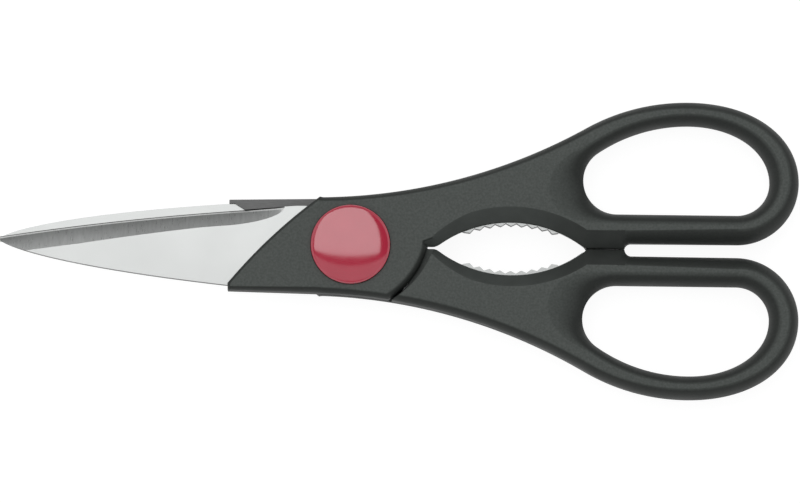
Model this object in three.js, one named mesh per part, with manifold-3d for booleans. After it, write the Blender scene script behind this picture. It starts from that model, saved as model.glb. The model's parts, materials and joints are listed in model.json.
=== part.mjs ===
// Multi-purpose household shears: two overmoulded steel halves on one pivot screw.
// Millimetres. +X runs from the points to the finger loops, +Z up from the table.
// Each half is drawn about the pivot axis, with the shear plane at z = 0 and the blade above it.
// The rear half is the same moulding and stamping, turned half a turn about X.

import * as THREE from 'three';
import { mergeVertices } from 'three/addons/utils/BufferGeometryUtils.js';
import Module from 'manifold-3d';

const wasm = await Module();
wasm.setup();

// Reach from the pivot axis
const BLADE_REACH = 87.9;
const LOOP_END = 112.1;
const LOOP_TOP = 37.45;
const HALF_THICKNESS = 5.5;

// Clearances
const BLADE_GAP = 0.2;
const MOULD_GAP = 0.2;
const PAD_GAP = 0.3;
const LIP_GAP = 0.3;
const RUNNING_GAP = 0.1;
const SEAT_GAP = 0.1;
const WELL_GAP = 0.3;

// Blade stamping
const BLADE_THICKNESS = 2.5;
const POINT_FLAT = 0.6;
const EDGE_RISE = 9.9;
const EDGE_END = -13.6;
const EDGE_BOW = 0.95;
const SPINE_DEPTH = 10.4;
const SPINE_SLOPE = 0.089;
const SPINE_RUN = 46;
const SPINE_NOSE = 1.2;

// Ground bevel along the cutting edge
const BEVEL_WIDTH = 3.8;
const BEVEL_END = -15.6;
const BEVEL_RUN_OUT = 14.5;
const EDGE_LAND = 0.5;
const MICRO_BEVEL = 0.6;
const MICRO_LAND = 0.12;

// Tang, held inside the handle
const TANG_TURN = 10.4;
const TANG_TURN_END = -10;
const TANG_SHOULDER = 6.5;
const TANG_RISE = 27;
const TANG_HEIGHT = 12.6;
const TANG_INSET = 1.6;
const TANG_TAIL = 2.4;

// Teeth of the bottle grip
const TOOTH_COUNT = 9;
const TOOTH_PITCH = 2.615;
const TOOTH_HEIGHT = 0.95;
const TOOTH_REACH = 1;
const TOOTH_TIP = 0.5;
const TOOTH_CROWN = 0.17;

// Shoulder of the handle, lapped over the blade
const SHOULDER_REACH = 30.5;
const SHOULDER_HALF = 12.03;
const SHOULDER_TAPER = 0.48;
const SHOULDER_END = 1.6;
const SHOULDER_NOSE = -7.8;
const NOSE_SLOPE = 1.2;
const DIAGONAL_RADIUS = 130;
const LAP_CENTRE = new THREE.Vector2(-1.7, 4.85);
const LAP_RADIUS = 21.5;
const LAP_GAP = 2.05;
const LAP_LIFT = 1.7;
const LIP_DEPTH = 0.7;
const LIP_FALL = 0.25;
const LIP_END = -8;
const LIP_STEP = 4.1;
const LIP_NOSE = 10.6;

// Bottle grip arch between the arms
const SLIT_LENGTH = 1.14;
const SLIT_HALF = 0.27;
const FLARE_RADIUS = 3;
const ARCH_RADIUS = 30.5;
const ARCH_DEPTH = 6.63;
const ARCH_HAUNCH = 9;
const ARCH_DRAFT = 0.1;

// Finger loop
const SLOT_START = 68.5;
const SLOT_HALF = 1.63;
const CORNER_RADIUS = 15.67;
const CROWN_PLACE = 84.5;
const CROWN_RADIUS = 51.5;
const BOW_FULLNESS = 0.59;
const HOLE_FULLNESS = 0.57;
const BOW_WIDTH = 7.35;
const BOW_CROWN_WIDTH = 5.9;
const HOLE_CROWN_RADIUS = 40;
const HOLE_END_RADIUS = 8.5;

// Edge bands, from the parting line back to the flat face
const SLIT_BAND = 0.5;
const KNEE_BAND = 1.3;
const FLARE_BAND = 1.9;
const ARCH_BAND = 3.3;
const PAD_BAND = 4.25;
const SLOT_END_BAND = 2.6;
const SLOT_BAND = 3.5;
const BOW_BAND = 2.9;
const CROWN_BAND = 1.9;
const ARM_BAND = 2.0;
const SHOULDER_BAND = 1.4;
const HEEL_BAND = 0.8;
const DIAGONAL_BAND = 0.9;
const LAP_BAND = 1;
const HOLE_BAND = 3.1;
const HOLE_END_BAND = 9.2;
const HOLE_END_LEAN = 195;
const HOLE_END_FOCUS = 4;
const CREST_GAP = 0.4;

// Height of the plain wall at the parting line, each side of it
const ARCH_WALL = 3.1;
const BOW_WALL = 0.5;
const ARM_WALL = 1.6;
const SHOULDER_WALL = 3.6;

// Roundness of the bands: 0 is a straight chamfer, 1 a quarter ellipse
const CHAMFER = 0;
const PAD_ROUND = 0.3;
const SLOT_ROUND = 0.5;
const SHOULDER_ROUND = 0.6;
const BOW_ROUND = 0.8;

// Pivot set
const SCREW_RADIUS = 3;
const HEAD_RADIUS = 6;
const HEAD_HEIGHT = 2.1;
const HEAD_ROUND = 0.5;
const SLOT_WIDTH = 1.6;
const SLOT_DEPTH = 1.1;
const NUT_RADIUS = 5.6;
const NUT_HEIGHT = 1.5;
const WASHER_RADIUS = 5.2;
const WASHER_THICKNESS = 0.45;
const WASHER_CONE = 0.2;

// Pivot cap
const CAP_RADIUS = 10.1;
const CAP_RISE = 1.9;
const CAP_RIM = 0.5;
const CAP_SEAT = 0.8;
const CAP_WALL = 1.0;
const SKIRT_WALL = 0.9;
const SKIRT_LENGTH = 1.0;

// Fineness of the facets
const FACET_TURN = 7;
const FACET_RUN = 3.5;
const BAND_STEPS = 3;
const BEVEL_STEPS = 8;
const DOME_STEPS = 8;
const ROUND_SIDES = 48;
const WELD = 1e-4;
const SHARP_TURN = 6;

// Heights that follow from the sizes
const BLADE_LOW = BLADE_GAP / 2;
const BLADE_HIGH = BLADE_LOW + BLADE_THICKNESS;
const LAP_TOP = BLADE_HIGH + MOULD_GAP;
const OVERCUT = 1;

// Two-dimensional helpers
const at = (x, y) => new THREE.Vector2(x, y);
const line = (a, b) => new THREE.LineCurve(a, b);
const leftOf = (heading) => at(-heading.y, heading.x);
const mirrored = (p) => at(p.x, -p.y);
const mix = (a, b, t) => a + (b - a) * t;
const radians = THREE.MathUtils.degToRad;
const quarter = Math.PI / 2;

function arc(centre, radiusX, radiusY, from, to) {
  return new THREE.EllipseCurve(centre.x, centre.y, radiusX, radiusY, from, to, to < from);
}

function angleFrom(centre, p) {
  return Math.atan2(p.y - centre.y, p.x - centre.x);
}

function arcBetween(centre, radius, start, end) {
  return arc(centre, radius, radius, angleFrom(centre, start), angleFrom(centre, end));
}

// Arc from one point to another with a given radius, its middle bulging to the right of the way there
function bulgingArc(start, end, radius) {
  const chord = end.clone().sub(start);
  const middle = start.clone().addScaledVector(chord, 0.5);
  const drop = Math.sqrt(radius ** 2 - chord.lengthSq() / 4);
  const centre = middle.addScaledVector(leftOf(chord.clone().normalize()), drop);
  const from = angleFrom(centre, start);
  const sweep = 2 * Math.asin(chord.length() / 2 / radius);
  return arc(centre, radius, radius, from, from + sweep);
}

// Crossing of two circles, on the right of the way from the first centre to the second
function crossing(centreA, radiusA, centreB, radiusB) {
  const way = centreB.clone().sub(centreA);
  const gap = way.length();
  const along = (gap ** 2 + radiusA ** 2 - radiusB ** 2) / (2 * gap);
  const aside = Math.sqrt(radiusA ** 2 - along ** 2);
  way.normalize();
  return centreA.clone().addScaledVector(way, along).addScaledVector(leftOf(way), -aside);
}

// Full corner curve from the right of a centre round to its top
function fullCorner(centre, width, height, fullness) {
  return new THREE.CubicBezierCurve(
    at(centre.x + width, centre.y),
    at(centre.x + width, centre.y + fullness * height),
    at(centre.x + fullness * width, centre.y + height),
    at(centre.x, centre.y + height),
  );
}

function reversed({ v0, v1, v2, v3 }) {
  return new THREE.CubicBezierCurve(v3, v2, v1, v0);
}

// Number of facets along a curve, so that none turns or runs too far
function facets(curve) {
  const turn = curve.getTangent(0).angleTo(curve.getTangent(1));
  if (curve instanceof THREE.LineCurve) return 1;
  return Math.ceil(Math.max(turn / radians(FACET_TURN), curve.getLength() / FACET_RUN));
}

// Points of a curve without its last one
function trace(curve) {
  return curve.getPoints(facets(curve)).slice(0, -1);
}

// Solids
function solid(geometry) {
  const bare = geometry.index ? geometry : geometry.clone();
  bare.deleteAttribute('normal');
  bare.deleteAttribute('uv');
  const merged = mergeVertices(bare, WELD);
  const vertProperties = new Float32Array(merged.attributes.position.array);
  const triVerts = new Uint32Array(merged.index.array);
  return new wasm.Manifold(new wasm.Mesh({ numProp: 3, vertProperties, triVerts }));
}

function geometryOf(body) {
  const mesh = body.getMesh();
  const geometry = new THREE.BufferGeometry();
  geometry.setAttribute('position', new THREE.BufferAttribute(mesh.vertProperties, 3));
  geometry.setIndex(new THREE.BufferAttribute(mesh.triVerts, 1));
  geometry.computeVertexNormals();
  return geometry;
}

function extruded(outline, low, high) {
  const shape = new THREE.Shape(outline);
  const geometry = new THREE.ExtrudeGeometry(shape, { depth: high - low, bevelEnabled: false });
  return geometry.translate(0, 0, low);
}

function prism(outline, low, high) {
  return solid(extruded(outline, low, high));
}

function drum(radius, low, high) {
  const geometry = new THREE.CylinderGeometry(radius, radius, high - low, ROUND_SIDES);
  geometry.rotateX(quarter);
  geometry.translate(0, 0, (low + high) / 2);
  return solid(geometry);
}

// Body of revolution about Z from [radius, height] pairs
function turned(profile) {
  const points = profile.map(([radius, height]) => at(radius, height));
  const geometry = new THREE.LatheGeometry(points, ROUND_SIDES);
  geometry.rotateX(quarter);
  return geometry;
}

// Closed skin through sections of equal count, each a list of corners seen from +X, anticlockwise
function loft(sections) {
  const count = sections[0].length;
  const positions = sections.flat().flatMap((p) => [p.x, p.y, p.z]);
  const index = [];
  for (let s = 0; s + 1 < sections.length; s += 1) {
    for (let i = 0; i < count; i += 1) {
      const a = s * count + i;
      const b = s * count + ((i + 1) % count);
      index.push(a, b, b + count, a, b + count, a + count);
    }
  }
  const last = (sections.length - 1) * count;
  for (let i = 1; i + 1 < count; i += 1) {
    index.push(0, i + 1, i, last, last + i, last + i + 1);
  }
  const geometry = new THREE.BufferGeometry();
  geometry.setAttribute('position', new THREE.Float32BufferAttribute(positions, 3));
  geometry.setIndex(index);
  return solid(geometry);
}

// Blade: one stamping with its tang and teeth
const point = at(-BLADE_REACH, 0);
const edgeStart = at(-BLADE_REACH, POINT_FLAT);
const edgeEnd = at(EDGE_END, EDGE_RISE);
const spineEnd = at(-SHOULDER_REACH, -SPINE_DEPTH);
const edgeRadius = (edgeStart.distanceToSquared(edgeEnd) / 4 + EDGE_BOW ** 2) / (2 * EDGE_BOW);
const edgeCurve = bulgingArc(edgeEnd, edgeStart, edgeRadius);

// Places along the arch, which begins past the slit and its flare
const slitReach = Math.sqrt(LAP_RADIUS ** 2 - (SLIT_HALF - LAP_CENTRE.y) ** 2);
const slitStart = at(LAP_CENTRE.x + slitReach, SLIT_HALF);
const flareCentre = at(slitStart.x + SLIT_LENGTH, SLIT_HALF + FLARE_RADIUS);
const archLevel = ARCH_DEPTH - ARCH_RADIUS;
const flareReach = Math.sqrt((ARCH_RADIUS + FLARE_RADIUS) ** 2 - (flareCentre.y - archLevel) ** 2);
const archCentre = at(flareCentre.x + flareReach, archLevel);

function spineCurve() {
  const nose = at(point.x, point.y - SPINE_NOSE);
  const run = at(spineEnd.x - SPINE_RUN, spineEnd.y + SPINE_RUN * SPINE_SLOPE);
  return new THREE.CubicBezierCurve(point, nose, run, spineEnd);
}

function edgeHeight(x) {
  const reach = (x - edgeCurve.aX) / edgeRadius;
  return edgeCurve.aY + edgeRadius * Math.sqrt(1 - reach ** 2);
}

function archPoint(radius, angle) {
  return at(archCentre.x + radius * Math.cos(angle), archCentre.y + radius * Math.sin(angle));
}

// Radii and angles of the tooth row about the arch's centre
const tipRadius = ARCH_RADIUS - TOOTH_REACH;
const rootRadius = tipRadius + TOOTH_HEIGHT;
const toothStep = TOOTH_PITCH / tipRadius;
const rowStart = quarter + (TOOTH_COUNT / 2) * toothStep;
const rowEnd = quarter - (TOOTH_COUNT / 2) * toothStep;

// Rounded teeth along the arch, from left to right
function toothRow() {
  const flank = TOOTH_TIP / tipRadius / 2;
  const shoulder = tipRadius + TOOTH_CROWN;
  const points = [];
  for (let i = 0; i < TOOTH_COUNT; i += 1) {
    const middle = rowStart - (i + 0.5) * toothStep;
    points.push(archPoint(rootRadius, middle + toothStep / 2));
    points.push(archPoint(shoulder, middle + flank));
    points.push(archPoint(tipRadius, middle));
    points.push(archPoint(shoulder, middle - flank));
  }
  points.push(archPoint(rootRadius, rowEnd));
  return points;
}

// Plain strip in place of the teeth, for the slot in the handle
function toothStrip() {
  const strip = arc(archCentre, tipRadius, tipRadius, rowStart, rowEnd);
  return strip.getPoints(facets(strip));
}

function bladeOutline(archSide) {
  const neck = archPoint(rootRadius + TANG_INSET, rowStart + TANG_INSET / rootRadius);
  const tail = archPoint(rootRadius, rowEnd).addScalar(TANG_TAIL);
  return [
    ...trace(spineCurve()),
    spineEnd,
    ...trace(arc(at(0, 0), TANG_TURN, TANG_TURN, -quarter, radians(TANG_TURN_END))),
    neck,
    ...archSide,
    tail,
    at(tail.x - TANG_TAIL, TANG_HEIGHT),
    at(TANG_RISE, TANG_HEIGHT),
    at(TANG_SHOULDER, EDGE_RISE),
    ...trace(edgeCurve),
    edgeStart,
  ];
}

// Width of the ground band, running out in a quarter ellipse near the shoulder
function bevelWidth(x) {
  const reach = (x - (BEVEL_END - BEVEL_RUN_OUT)) / BEVEL_RUN_OUT;
  if (reach <= 0) return BEVEL_WIDTH;
  return BEVEL_WIDTH * Math.sqrt(Math.max(0, 1 - reach ** 2));
}

function bevelSection(x) {
  const slope = (BLADE_THICKNESS - EDGE_LAND) / BEVEL_WIDTH;
  const width = bevelWidth(x);
  const edge = edgeHeight(x);
  const micro = Math.min(MICRO_BEVEL, width / 2);
  const microHigh = BLADE_HIGH - slope * (width - micro);
  const microLow = mix(BLADE_LOW + MICRO_LAND, BLADE_HIGH - slope * width, 1 - width / BEVEL_WIDTH);
  const fall = micro > 0 ? (microHigh - microLow) / micro : slope;
  return [
    new THREE.Vector3(x, edge + OVERCUT, BLADE_HIGH + OVERCUT),
    new THREE.Vector3(x, edge - width, BLADE_HIGH + OVERCUT),
    new THREE.Vector3(x, edge - width, BLADE_HIGH),
    new THREE.Vector3(x, edge - micro, microHigh),
    new THREE.Vector3(x, edge + OVERCUT, microLow - fall * OVERCUT),
  ];
}

function bevelCutter() {
  const runOut = BEVEL_END - BEVEL_RUN_OUT;
  const stations = [-BLADE_REACH - OVERCUT];
  for (let i = 1; i <= BEVEL_STEPS; i += 1) {
    stations.push(mix(-BLADE_REACH, runOut, i / BEVEL_STEPS));
  }
  for (let i = 1; i < BEVEL_STEPS; i += 1) {
    stations.push(runOut + BEVEL_RUN_OUT * Math.sin((i / BEVEL_STEPS) * quarter));
  }
  return loft(stations.map(bevelSection));
}

function blade() {
  const bore = drum(SCREW_RADIUS + RUNNING_GAP, -OVERCUT, BLADE_HIGH + OVERCUT);
  const stamping = prism(bladeOutline(toothRow()), BLADE_LOW, BLADE_HIGH);
  return stamping.subtract(bevelCutter()).subtract(bore);
}

// Outline of the handle at the parting line, anticlockwise, as stretches with their edge bands
const padLevel = PAD_GAP / 2;
const cornerCentre = at(LOOP_END - CORNER_RADIUS, SLOT_HALF + CORNER_RADIUS);
const crownCentre = at(CROWN_PLACE, LOOP_TOP - CROWN_RADIUS);
const endCentre = at(CROWN_PLACE, cornerCentre.y);
const noseHigh = at(SHOULDER_NOSE, SHOULDER_HALF);

// The arm's hollow edge leaves the shoulder at a small slope and meets the loop's crown smoothly
function armCircle() {
  const slope = radians(NOSE_SLOPE);
  const up = at(-Math.sin(slope), Math.cos(slope));
  const offset = noseHigh.clone().sub(crownCentre);
  const radius = (CROWN_RADIUS ** 2 - offset.lengthSq()) / (2 * offset.dot(up) - 2 * CROWN_RADIUS);
  const centre = noseHigh.clone().addScaledVector(up, radius);
  const meeting = crownCentre.clone().lerp(centre, CROWN_RADIUS / (CROWN_RADIUS + radius));
  return { centre, radius, meeting };
}

// Edges of the moulding as they stand at one place of its outline. The draft leans the plain wall,
// so that it stands further out on the side of the blade.
const edge = (band, wall, round, draft = 0) => ({ band, wall, round, draft });
const slitEdge = edge(SLIT_BAND, ARCH_WALL, CHAMFER, ARCH_DRAFT);
const kneeEdge = edge(KNEE_BAND, ARCH_WALL, CHAMFER, ARCH_DRAFT);
const flareEdge = edge(FLARE_BAND, ARCH_WALL, CHAMFER, ARCH_DRAFT);
const archEdge = edge(ARCH_BAND, ARCH_WALL, CHAMFER, ARCH_DRAFT);
const padStart = edge(PAD_BAND, ARCH_WALL, CHAMFER);
const padEnd = edge(PAD_BAND, ARCH_WALL, PAD_ROUND);
const slotEndEdge = edge(SLOT_END_BAND, ARCH_WALL, PAD_ROUND);
const slotEdge = edge(SLOT_BAND, BOW_WALL, SLOT_ROUND);
const bowEdge = edge(BOW_BAND, BOW_WALL, BOW_ROUND);
const crownEdge = edge(CROWN_BAND, BOW_WALL, BOW_ROUND);
const armEdge = edge(ARM_BAND, ARM_WALL, BOW_ROUND);
const shoulderEdge = edge(SHOULDER_BAND, SHOULDER_WALL, SHOULDER_ROUND);
const diagonalEdge = edge(DIAGONAL_BAND, SHOULDER_WALL, CHAMFER);
const heelEdge = edge(HEEL_BAND, SHOULDER_WALL, SHOULDER_ROUND);
const lapEdge = edge(LAP_BAND, SHOULDER_WALL, SHOULDER_ROUND);

// One stretch of the outline, whose edge changes evenly from its start to its end
function stretch(curve, start, end = start) {
  const edgeAt = (t) => edge(
    mix(start.band, end.band, t),
    mix(start.wall, end.wall, t),
    mix(start.round, end.round, t),
    mix(start.draft, end.draft, t),
  );
  return { curve, edgeAt };
}

function outerStretches() {
  const arm = armCircle();
  const armLow = mirrored(arm.centre);
  const noseLow = mirrored(noseHigh);
  const heel = at(-SHOULDER_REACH, -(SHOULDER_HALF - SHOULDER_TAPER));
  const toe = at(-SHOULDER_REACH, heel.y + SHOULDER_END);
  const lapLow = crossing(armLow, arm.radius, LAP_CENTRE, LAP_RADIUS);
  const flareStart = at(flareCentre.x, SLIT_HALF);
  const archStart = flareCentre.clone().lerp(archCentre, FLARE_RADIUS / (FLARE_RADIUS + ARCH_RADIUS));
  const haunch = archPoint(ARCH_RADIUS, Math.acos(-ARCH_HAUNCH / ARCH_RADIUS));
  const archReach = Math.sqrt(ARCH_RADIUS ** 2 - (padLevel - archCentre.y) ** 2);
  const archEnd = at(archCentre.x + archReach, padLevel);
  const slotCentre = at(SLOT_START + SLOT_HALF, 0);
  const slotCorner = at(slotCentre.x - Math.sqrt(SLOT_HALF ** 2 - padLevel ** 2), padLevel);
  const slotTop = at(slotCentre.x, SLOT_HALF);
  const crown = at(CROWN_PLACE, LOOP_TOP);
  const bow = fullCorner(endCentre, LOOP_END - endCentre.x, crown.y - endCentre.y, BOW_FULLNESS);
  const slotSide = line(slotTop, at(cornerCentre.x, SLOT_HALF));
  return [
    stretch(line(slitStart, flareStart), slitEdge, kneeEdge),
    stretch(arcBetween(flareCentre, FLARE_RADIUS, flareStart, archStart), kneeEdge, flareEdge),
    stretch(arcBetween(archCentre, ARCH_RADIUS, archStart, haunch), flareEdge, archEdge),
    stretch(arcBetween(archCentre, ARCH_RADIUS, haunch, archEnd), archEdge),
    stretch(line(archEnd, slotCorner), padStart, padEnd),
    stretch(arcBetween(slotCentre, SLOT_HALF, slotCorner, slotTop), slotEndEdge, slotEdge),
    stretch(slotSide, slotEdge),
    stretch(arc(cornerCentre, CORNER_RADIUS, CORNER_RADIUS, -quarter, 0), slotEdge, bowEdge),
    stretch(bow, bowEdge, crownEdge),
    stretch(arcBetween(crownCentre, CROWN_RADIUS, crown, arm.meeting), crownEdge, armEdge),
    stretch(arcBetween(arm.centre, arm.radius, arm.meeting, noseHigh), armEdge, shoulderEdge),
    stretch(bulgingArc(noseHigh, toe, DIAGONAL_RADIUS), diagonalEdge),
    stretch(line(toe, heel), diagonalEdge),
    stretch(line(heel, noseLow), heelEdge, shoulderEdge),
    stretch(arcBetween(armLow, arm.radius, noseLow, lapLow), shoulderEdge),
    stretch(arcBetween(LAP_CENTRE, LAP_RADIUS, lapLow, slitStart), lapEdge),
  ];
}

// Room from a point up to the crest of the arch, in one direction
function archRoom(from, way) {
  const offset = from.clone().sub(archCentre);
  const reach = ARCH_RADIUS + ARCH_BAND + CREST_GAP;
  const along = offset.dot(way);
  const inside = along ** 2 - offset.lengthSq() + reach ** 2;
  return along < 0 && inside > 0 ? -along - Math.sqrt(inside) : Infinity;
}

// The band round the finger hole widens towards its pivot end, as far as the arch leaves room
function holeEdge(foot, inward) {
  const lean = Math.max(0, Math.cos(inward.angle() - radians(HOLE_END_LEAN)));
  const band = mix(HOLE_BAND, HOLE_END_BAND, lean ** HOLE_END_FOCUS);
  return edge(Math.min(band, archRoom(foot, inward)), BOW_WALL, BOW_ROUND);
}

// Finger hole, clockwise, so that the handle lies on the left as it does along the outer outline
function holeStretches() {
  const bottom = SLOT_HALF + BOW_WIDTH;
  const top = LOOP_TOP - BOW_CROWN_WIDTH;
  const holeEnd = LOOP_END - BOW_WIDTH;
  const crownMiddle = at(CROWN_PLACE, top - HOLE_CROWN_RADIUS);
  const backLevel = bottom + HOLE_END_RADIUS;
  const backReach = Math.sqrt((HOLE_CROWN_RADIUS - HOLE_END_RADIUS) ** 2 - (backLevel - crownMiddle.y) ** 2);
  const back = at(CROWN_PLACE - backReach, backLevel);
  const join = angleFrom(crownMiddle, back);
  const corner = CORNER_RADIUS - BOW_WIDTH;
  const curves = [
    line(at(cornerCentre.x, bottom), at(back.x, bottom)),
    arc(back, HOLE_END_RADIUS, HOLE_END_RADIUS, 3 * quarter, join),
    arc(crownMiddle, HOLE_CROWN_RADIUS, HOLE_CROWN_RADIUS, join, quarter),
    reversed(fullCorner(endCentre, holeEnd - endCentre.x, top - endCentre.y, HOLE_FULLNESS)),
    arc(cornerCentre, corner, corner, 0, -quarter),
  ];
  return curves.map((curve) => ({
    curve,
    edgeAt: (t) => holeEdge(curve.getPoint(t), leftOf(curve.getTangent(t))),
  }));
}

// Inset at a corner that lies one band width from each of the two edges that meet there
function cornerInset(headingIn, bandIn, headingOut, bandOut) {
  const a = leftOf(headingIn);
  const b = leftOf(headingOut);
  const turn = a.x * b.y - a.y * b.x;
  return at((bandIn * b.y - bandOut * a.y) / turn, (a.x * bandOut - b.x * bandIn) / turn);
}

// How far the crest slides along each stretch at its two ends, where stretches meet at a corner
function crestSlides(stretches) {
  const slides = stretches.map(() => [0, 0]);
  stretches.forEach((next, j) => {
    const i = (j + stretches.length - 1) % stretches.length;
    const before = stretches[i];
    const headingIn = before.curve.getTangent(1);
    const headingOut = next.curve.getTangent(0);
    if (headingIn.angleTo(headingOut) < radians(SHARP_TURN)) return;
    const inset = cornerInset(headingIn, before.edgeAt(1).band, headingOut, next.edgeAt(0).band);
    slides[i][1] = inset.dot(headingIn);
    slides[j][0] = inset.dot(headingOut);
  });
  return slides;
}

// Ring of foot points on the outline and the crest points that lie behind them on the flat face
function ringOf(stretches) {
  const slides = crestSlides(stretches);
  return stretches.flatMap(({ curve, edgeAt }, i) => {
    const steps = facets(curve);
    return Array.from({ length: steps }, (_, k) => {
      const t = k / steps;
      const { band, wall, round, draft } = edgeAt(t);
      const heading = curve.getTangent(t);
      const foot = curve.getPoint(t);
      const crest = foot.clone().addScaledVector(leftOf(heading), band);
      crest.addScaledVector(heading, mix(slides[i][0], slides[i][1], t));
      const lean = leftOf(heading).multiplyScalar(-draft * wall);
      return { foot, crest, lean, wall, round };
    });
  });
}

// Points of one level of a ring: share 0 is the top of the plain wall, share 1 the flat face
function ringLevel(ring, share, side) {
  const turn = share * quarter;
  return ring.map(({ foot, crest, lean, wall, round }) => {
    const wallTop = foot.clone().addScaledVector(lean, side);
    const place = wallTop.lerp(crest, mix(share, 1 - Math.cos(turn), round));
    const height = mix(wall, HALF_THICKNESS, mix(share, Math.sin(turn), round));
    return new THREE.Vector3(place.x, place.y, side * height);
  });
}

function mouldedBody() {
  const rings = [ringOf(outerStretches()), ringOf(holeStretches())];
  const positions = [];
  const index = [];
  const lastLevel = 2 * BAND_STEPS + 1;
  const starts = rings.map((ring) => {
    const start = positions.length / 3;
    for (let level = 0; level <= lastLevel; level += 1) {
      const upper = level > BAND_STEPS;
      const share = (upper ? level - BAND_STEPS - 1 : BAND_STEPS - level) / BAND_STEPS;
      ringLevel(ring, share, upper ? 1 : -1).forEach((p) => positions.push(p.x, p.y, p.z));
    }
    for (let level = 0; level < lastLevel; level += 1) {
      for (let i = 0; i < ring.length; i += 1) {
        const a = start + level * ring.length + i;
        const b = start + level * ring.length + ((i + 1) % ring.length);
        index.push(a, b, b + ring.length, a, b + ring.length, a + ring.length);
      }
    }
    return start;
  });
  const [outer, hole] = rings.map((ring) => ring.map(({ crest }) => crest));
  const faces = THREE.ShapeUtils.triangulateShape(outer, [hole]);
  const vertex = (i, level) => (i < outer.length
    ? starts[0] + level * outer.length + i
    : starts[1] + level * hole.length + i - outer.length);
  faces.forEach(([a, b, c]) => {
    index.push(vertex(a, lastLevel), vertex(b, lastLevel), vertex(c, lastLevel));
    index.push(vertex(a, 0), vertex(c, 0), vertex(b, 0));
  });
  const geometry = new THREE.BufferGeometry();
  geometry.setAttribute('position', new THREE.Float32BufferAttribute(positions, 3));
  geometry.setIndex(index);
  return solid(geometry);
}

// Room for the other half: everything below the blade's outer face, up to the lap wall of the arm.
// The wall's centre lies beyond the shoulder's, so that the gap narrows towards the outer edge.
function lapRoom() {
  const centre = at(LAP_CENTRE.x, -LAP_CENTRE.y - LAP_LIFT);
  const radius = LAP_RADIUS + LAP_GAP;
  const wall = arc(centre, radius, radius, -quarter, quarter);
  const far = BLADE_REACH;
  const outline = [
    at(-far, far),
    at(-far, -far),
    at(centre.x, -far),
    ...wall.getPoints(facets(wall)),
    at(centre.x, far),
  ];
  return prism(outline, -HALF_THICKNESS - OVERCUT, LAP_TOP);
}

// Lip along the spine, which hides the other blade's edge when the shears are closed.
// Its face falls away towards the outer edge.
function lip() {
  const cover = (x) => at(x, -(edgeHeight(x) + LIP_GAP));
  const stepEnd = -SHOULDER_REACH + LIP_STEP;
  const nose = -SHOULDER_REACH - OVERCUT;
  const outline = [
    at(nose, -SHOULDER_HALF - OVERCUT),
    at(LIP_END, -SHOULDER_HALF - OVERCUT),
    at(LIP_END, -(EDGE_RISE + LIP_GAP)),
    cover(EDGE_END),
    cover((stepEnd + EDGE_END) / 2),
    cover(stepEnd),
    at(nose, -LIP_NOSE),
  ];
  const body = extruded(outline, -LIP_DEPTH - LIP_FALL * EDGE_RISE, LAP_TOP + OVERCUT);
  body.applyMatrix4(new THREE.Matrix4().makeShear(0, 0, 0, -LIP_FALL, 0, 0));
  return solid(body);
}

function block(left, bottom, right, top, low, high) {
  return prism([at(left, bottom), at(right, bottom), at(right, top), at(left, top)], low, high);
}

// Moulding that stays in the lap room: rims along both edges of the tang, the lip, and a shelf that
// closes the arm below the tang, outside the circle that the other half's rim turns in
function keptInLap() {
  const far = LOOP_END;
  const top = LAP_TOP + OVERCUT;
  const rimReach = Math.sqrt(LAP_RADIUS ** 2 - (SPINE_DEPTH + LAP_CENTRE.y) ** 2);
  const shelfRadius = Math.hypot(LAP_CENTRE.x + rimReach, SPINE_DEPTH) + LIP_GAP;
  const spineRim = block(-far, -far, far, -SPINE_DEPTH, BLADE_LOW, top);
  const backRim = block(-far, SLIT_HALF, far, far, LIP_DEPTH + MOULD_GAP, top);
  const shelf = block(0, SLIT_HALF, far, far, -BLADE_HIGH, top);
  const turning = drum(shelfRadius, -BLADE_HIGH - OVERCUT, top + OVERCUT);
  return spineRim.add(backRim).add(shelf.subtract(turning)).add(lip());
}

// Outline moved outwards by a clearance
function grown(points, clearance) {
  return points.map((p, i) => {
    const before = p.clone().sub(points.at(i - 1)).normalize();
    const after = points[(i + 1) % points.length].clone().sub(p).normalize();
    const inset = leftOf(before).add(leftOf(after)).divideScalar(1 + before.dot(after));
    return p.clone().addScaledVector(inset, -clearance);
  });
}

function tangSlot() {
  const outline = grown(bladeOutline(toothStrip()), MOULD_GAP);
  return prism(outline, BLADE_LOW - MOULD_GAP, LAP_TOP);
}

function handle(pivotWell) {
  const room = lapRoom().subtract(keptInLap());
  return mouldedBody().subtract(room).subtract(tangSlot()).subtract(pivotWell);
}

// Front well: the cap's seat, and below it room for the cap's skirt and the nut
const skirtInner = NUT_RADIUS + WELL_GAP;
const skirtOuter = skirtInner + SKIRT_WALL;
const capFloor = HALF_THICKNESS - CAP_SEAT;

function frontWell() {
  const seat = drum(CAP_RADIUS + WELL_GAP, capFloor, HALF_THICKNESS + OVERCUT);
  return seat.add(drum(skirtOuter + WELL_GAP, 0, HALF_THICKNESS));
}

function rearWell() {
  return drum(HEAD_RADIUS + WELL_GAP, 0, HALF_THICKNESS + OVERCUT);
}

// Pivot set, drawn from the shear plane: the screw's head lies below, its end and the nut above
const washerLow = BLADE_HIGH + SEAT_GAP;
const nutLow = washerLow + WASHER_THICKNESS + WASHER_CONE + SEAT_GAP;
const nutHigh = nutLow + NUT_HEIGHT;

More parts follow.
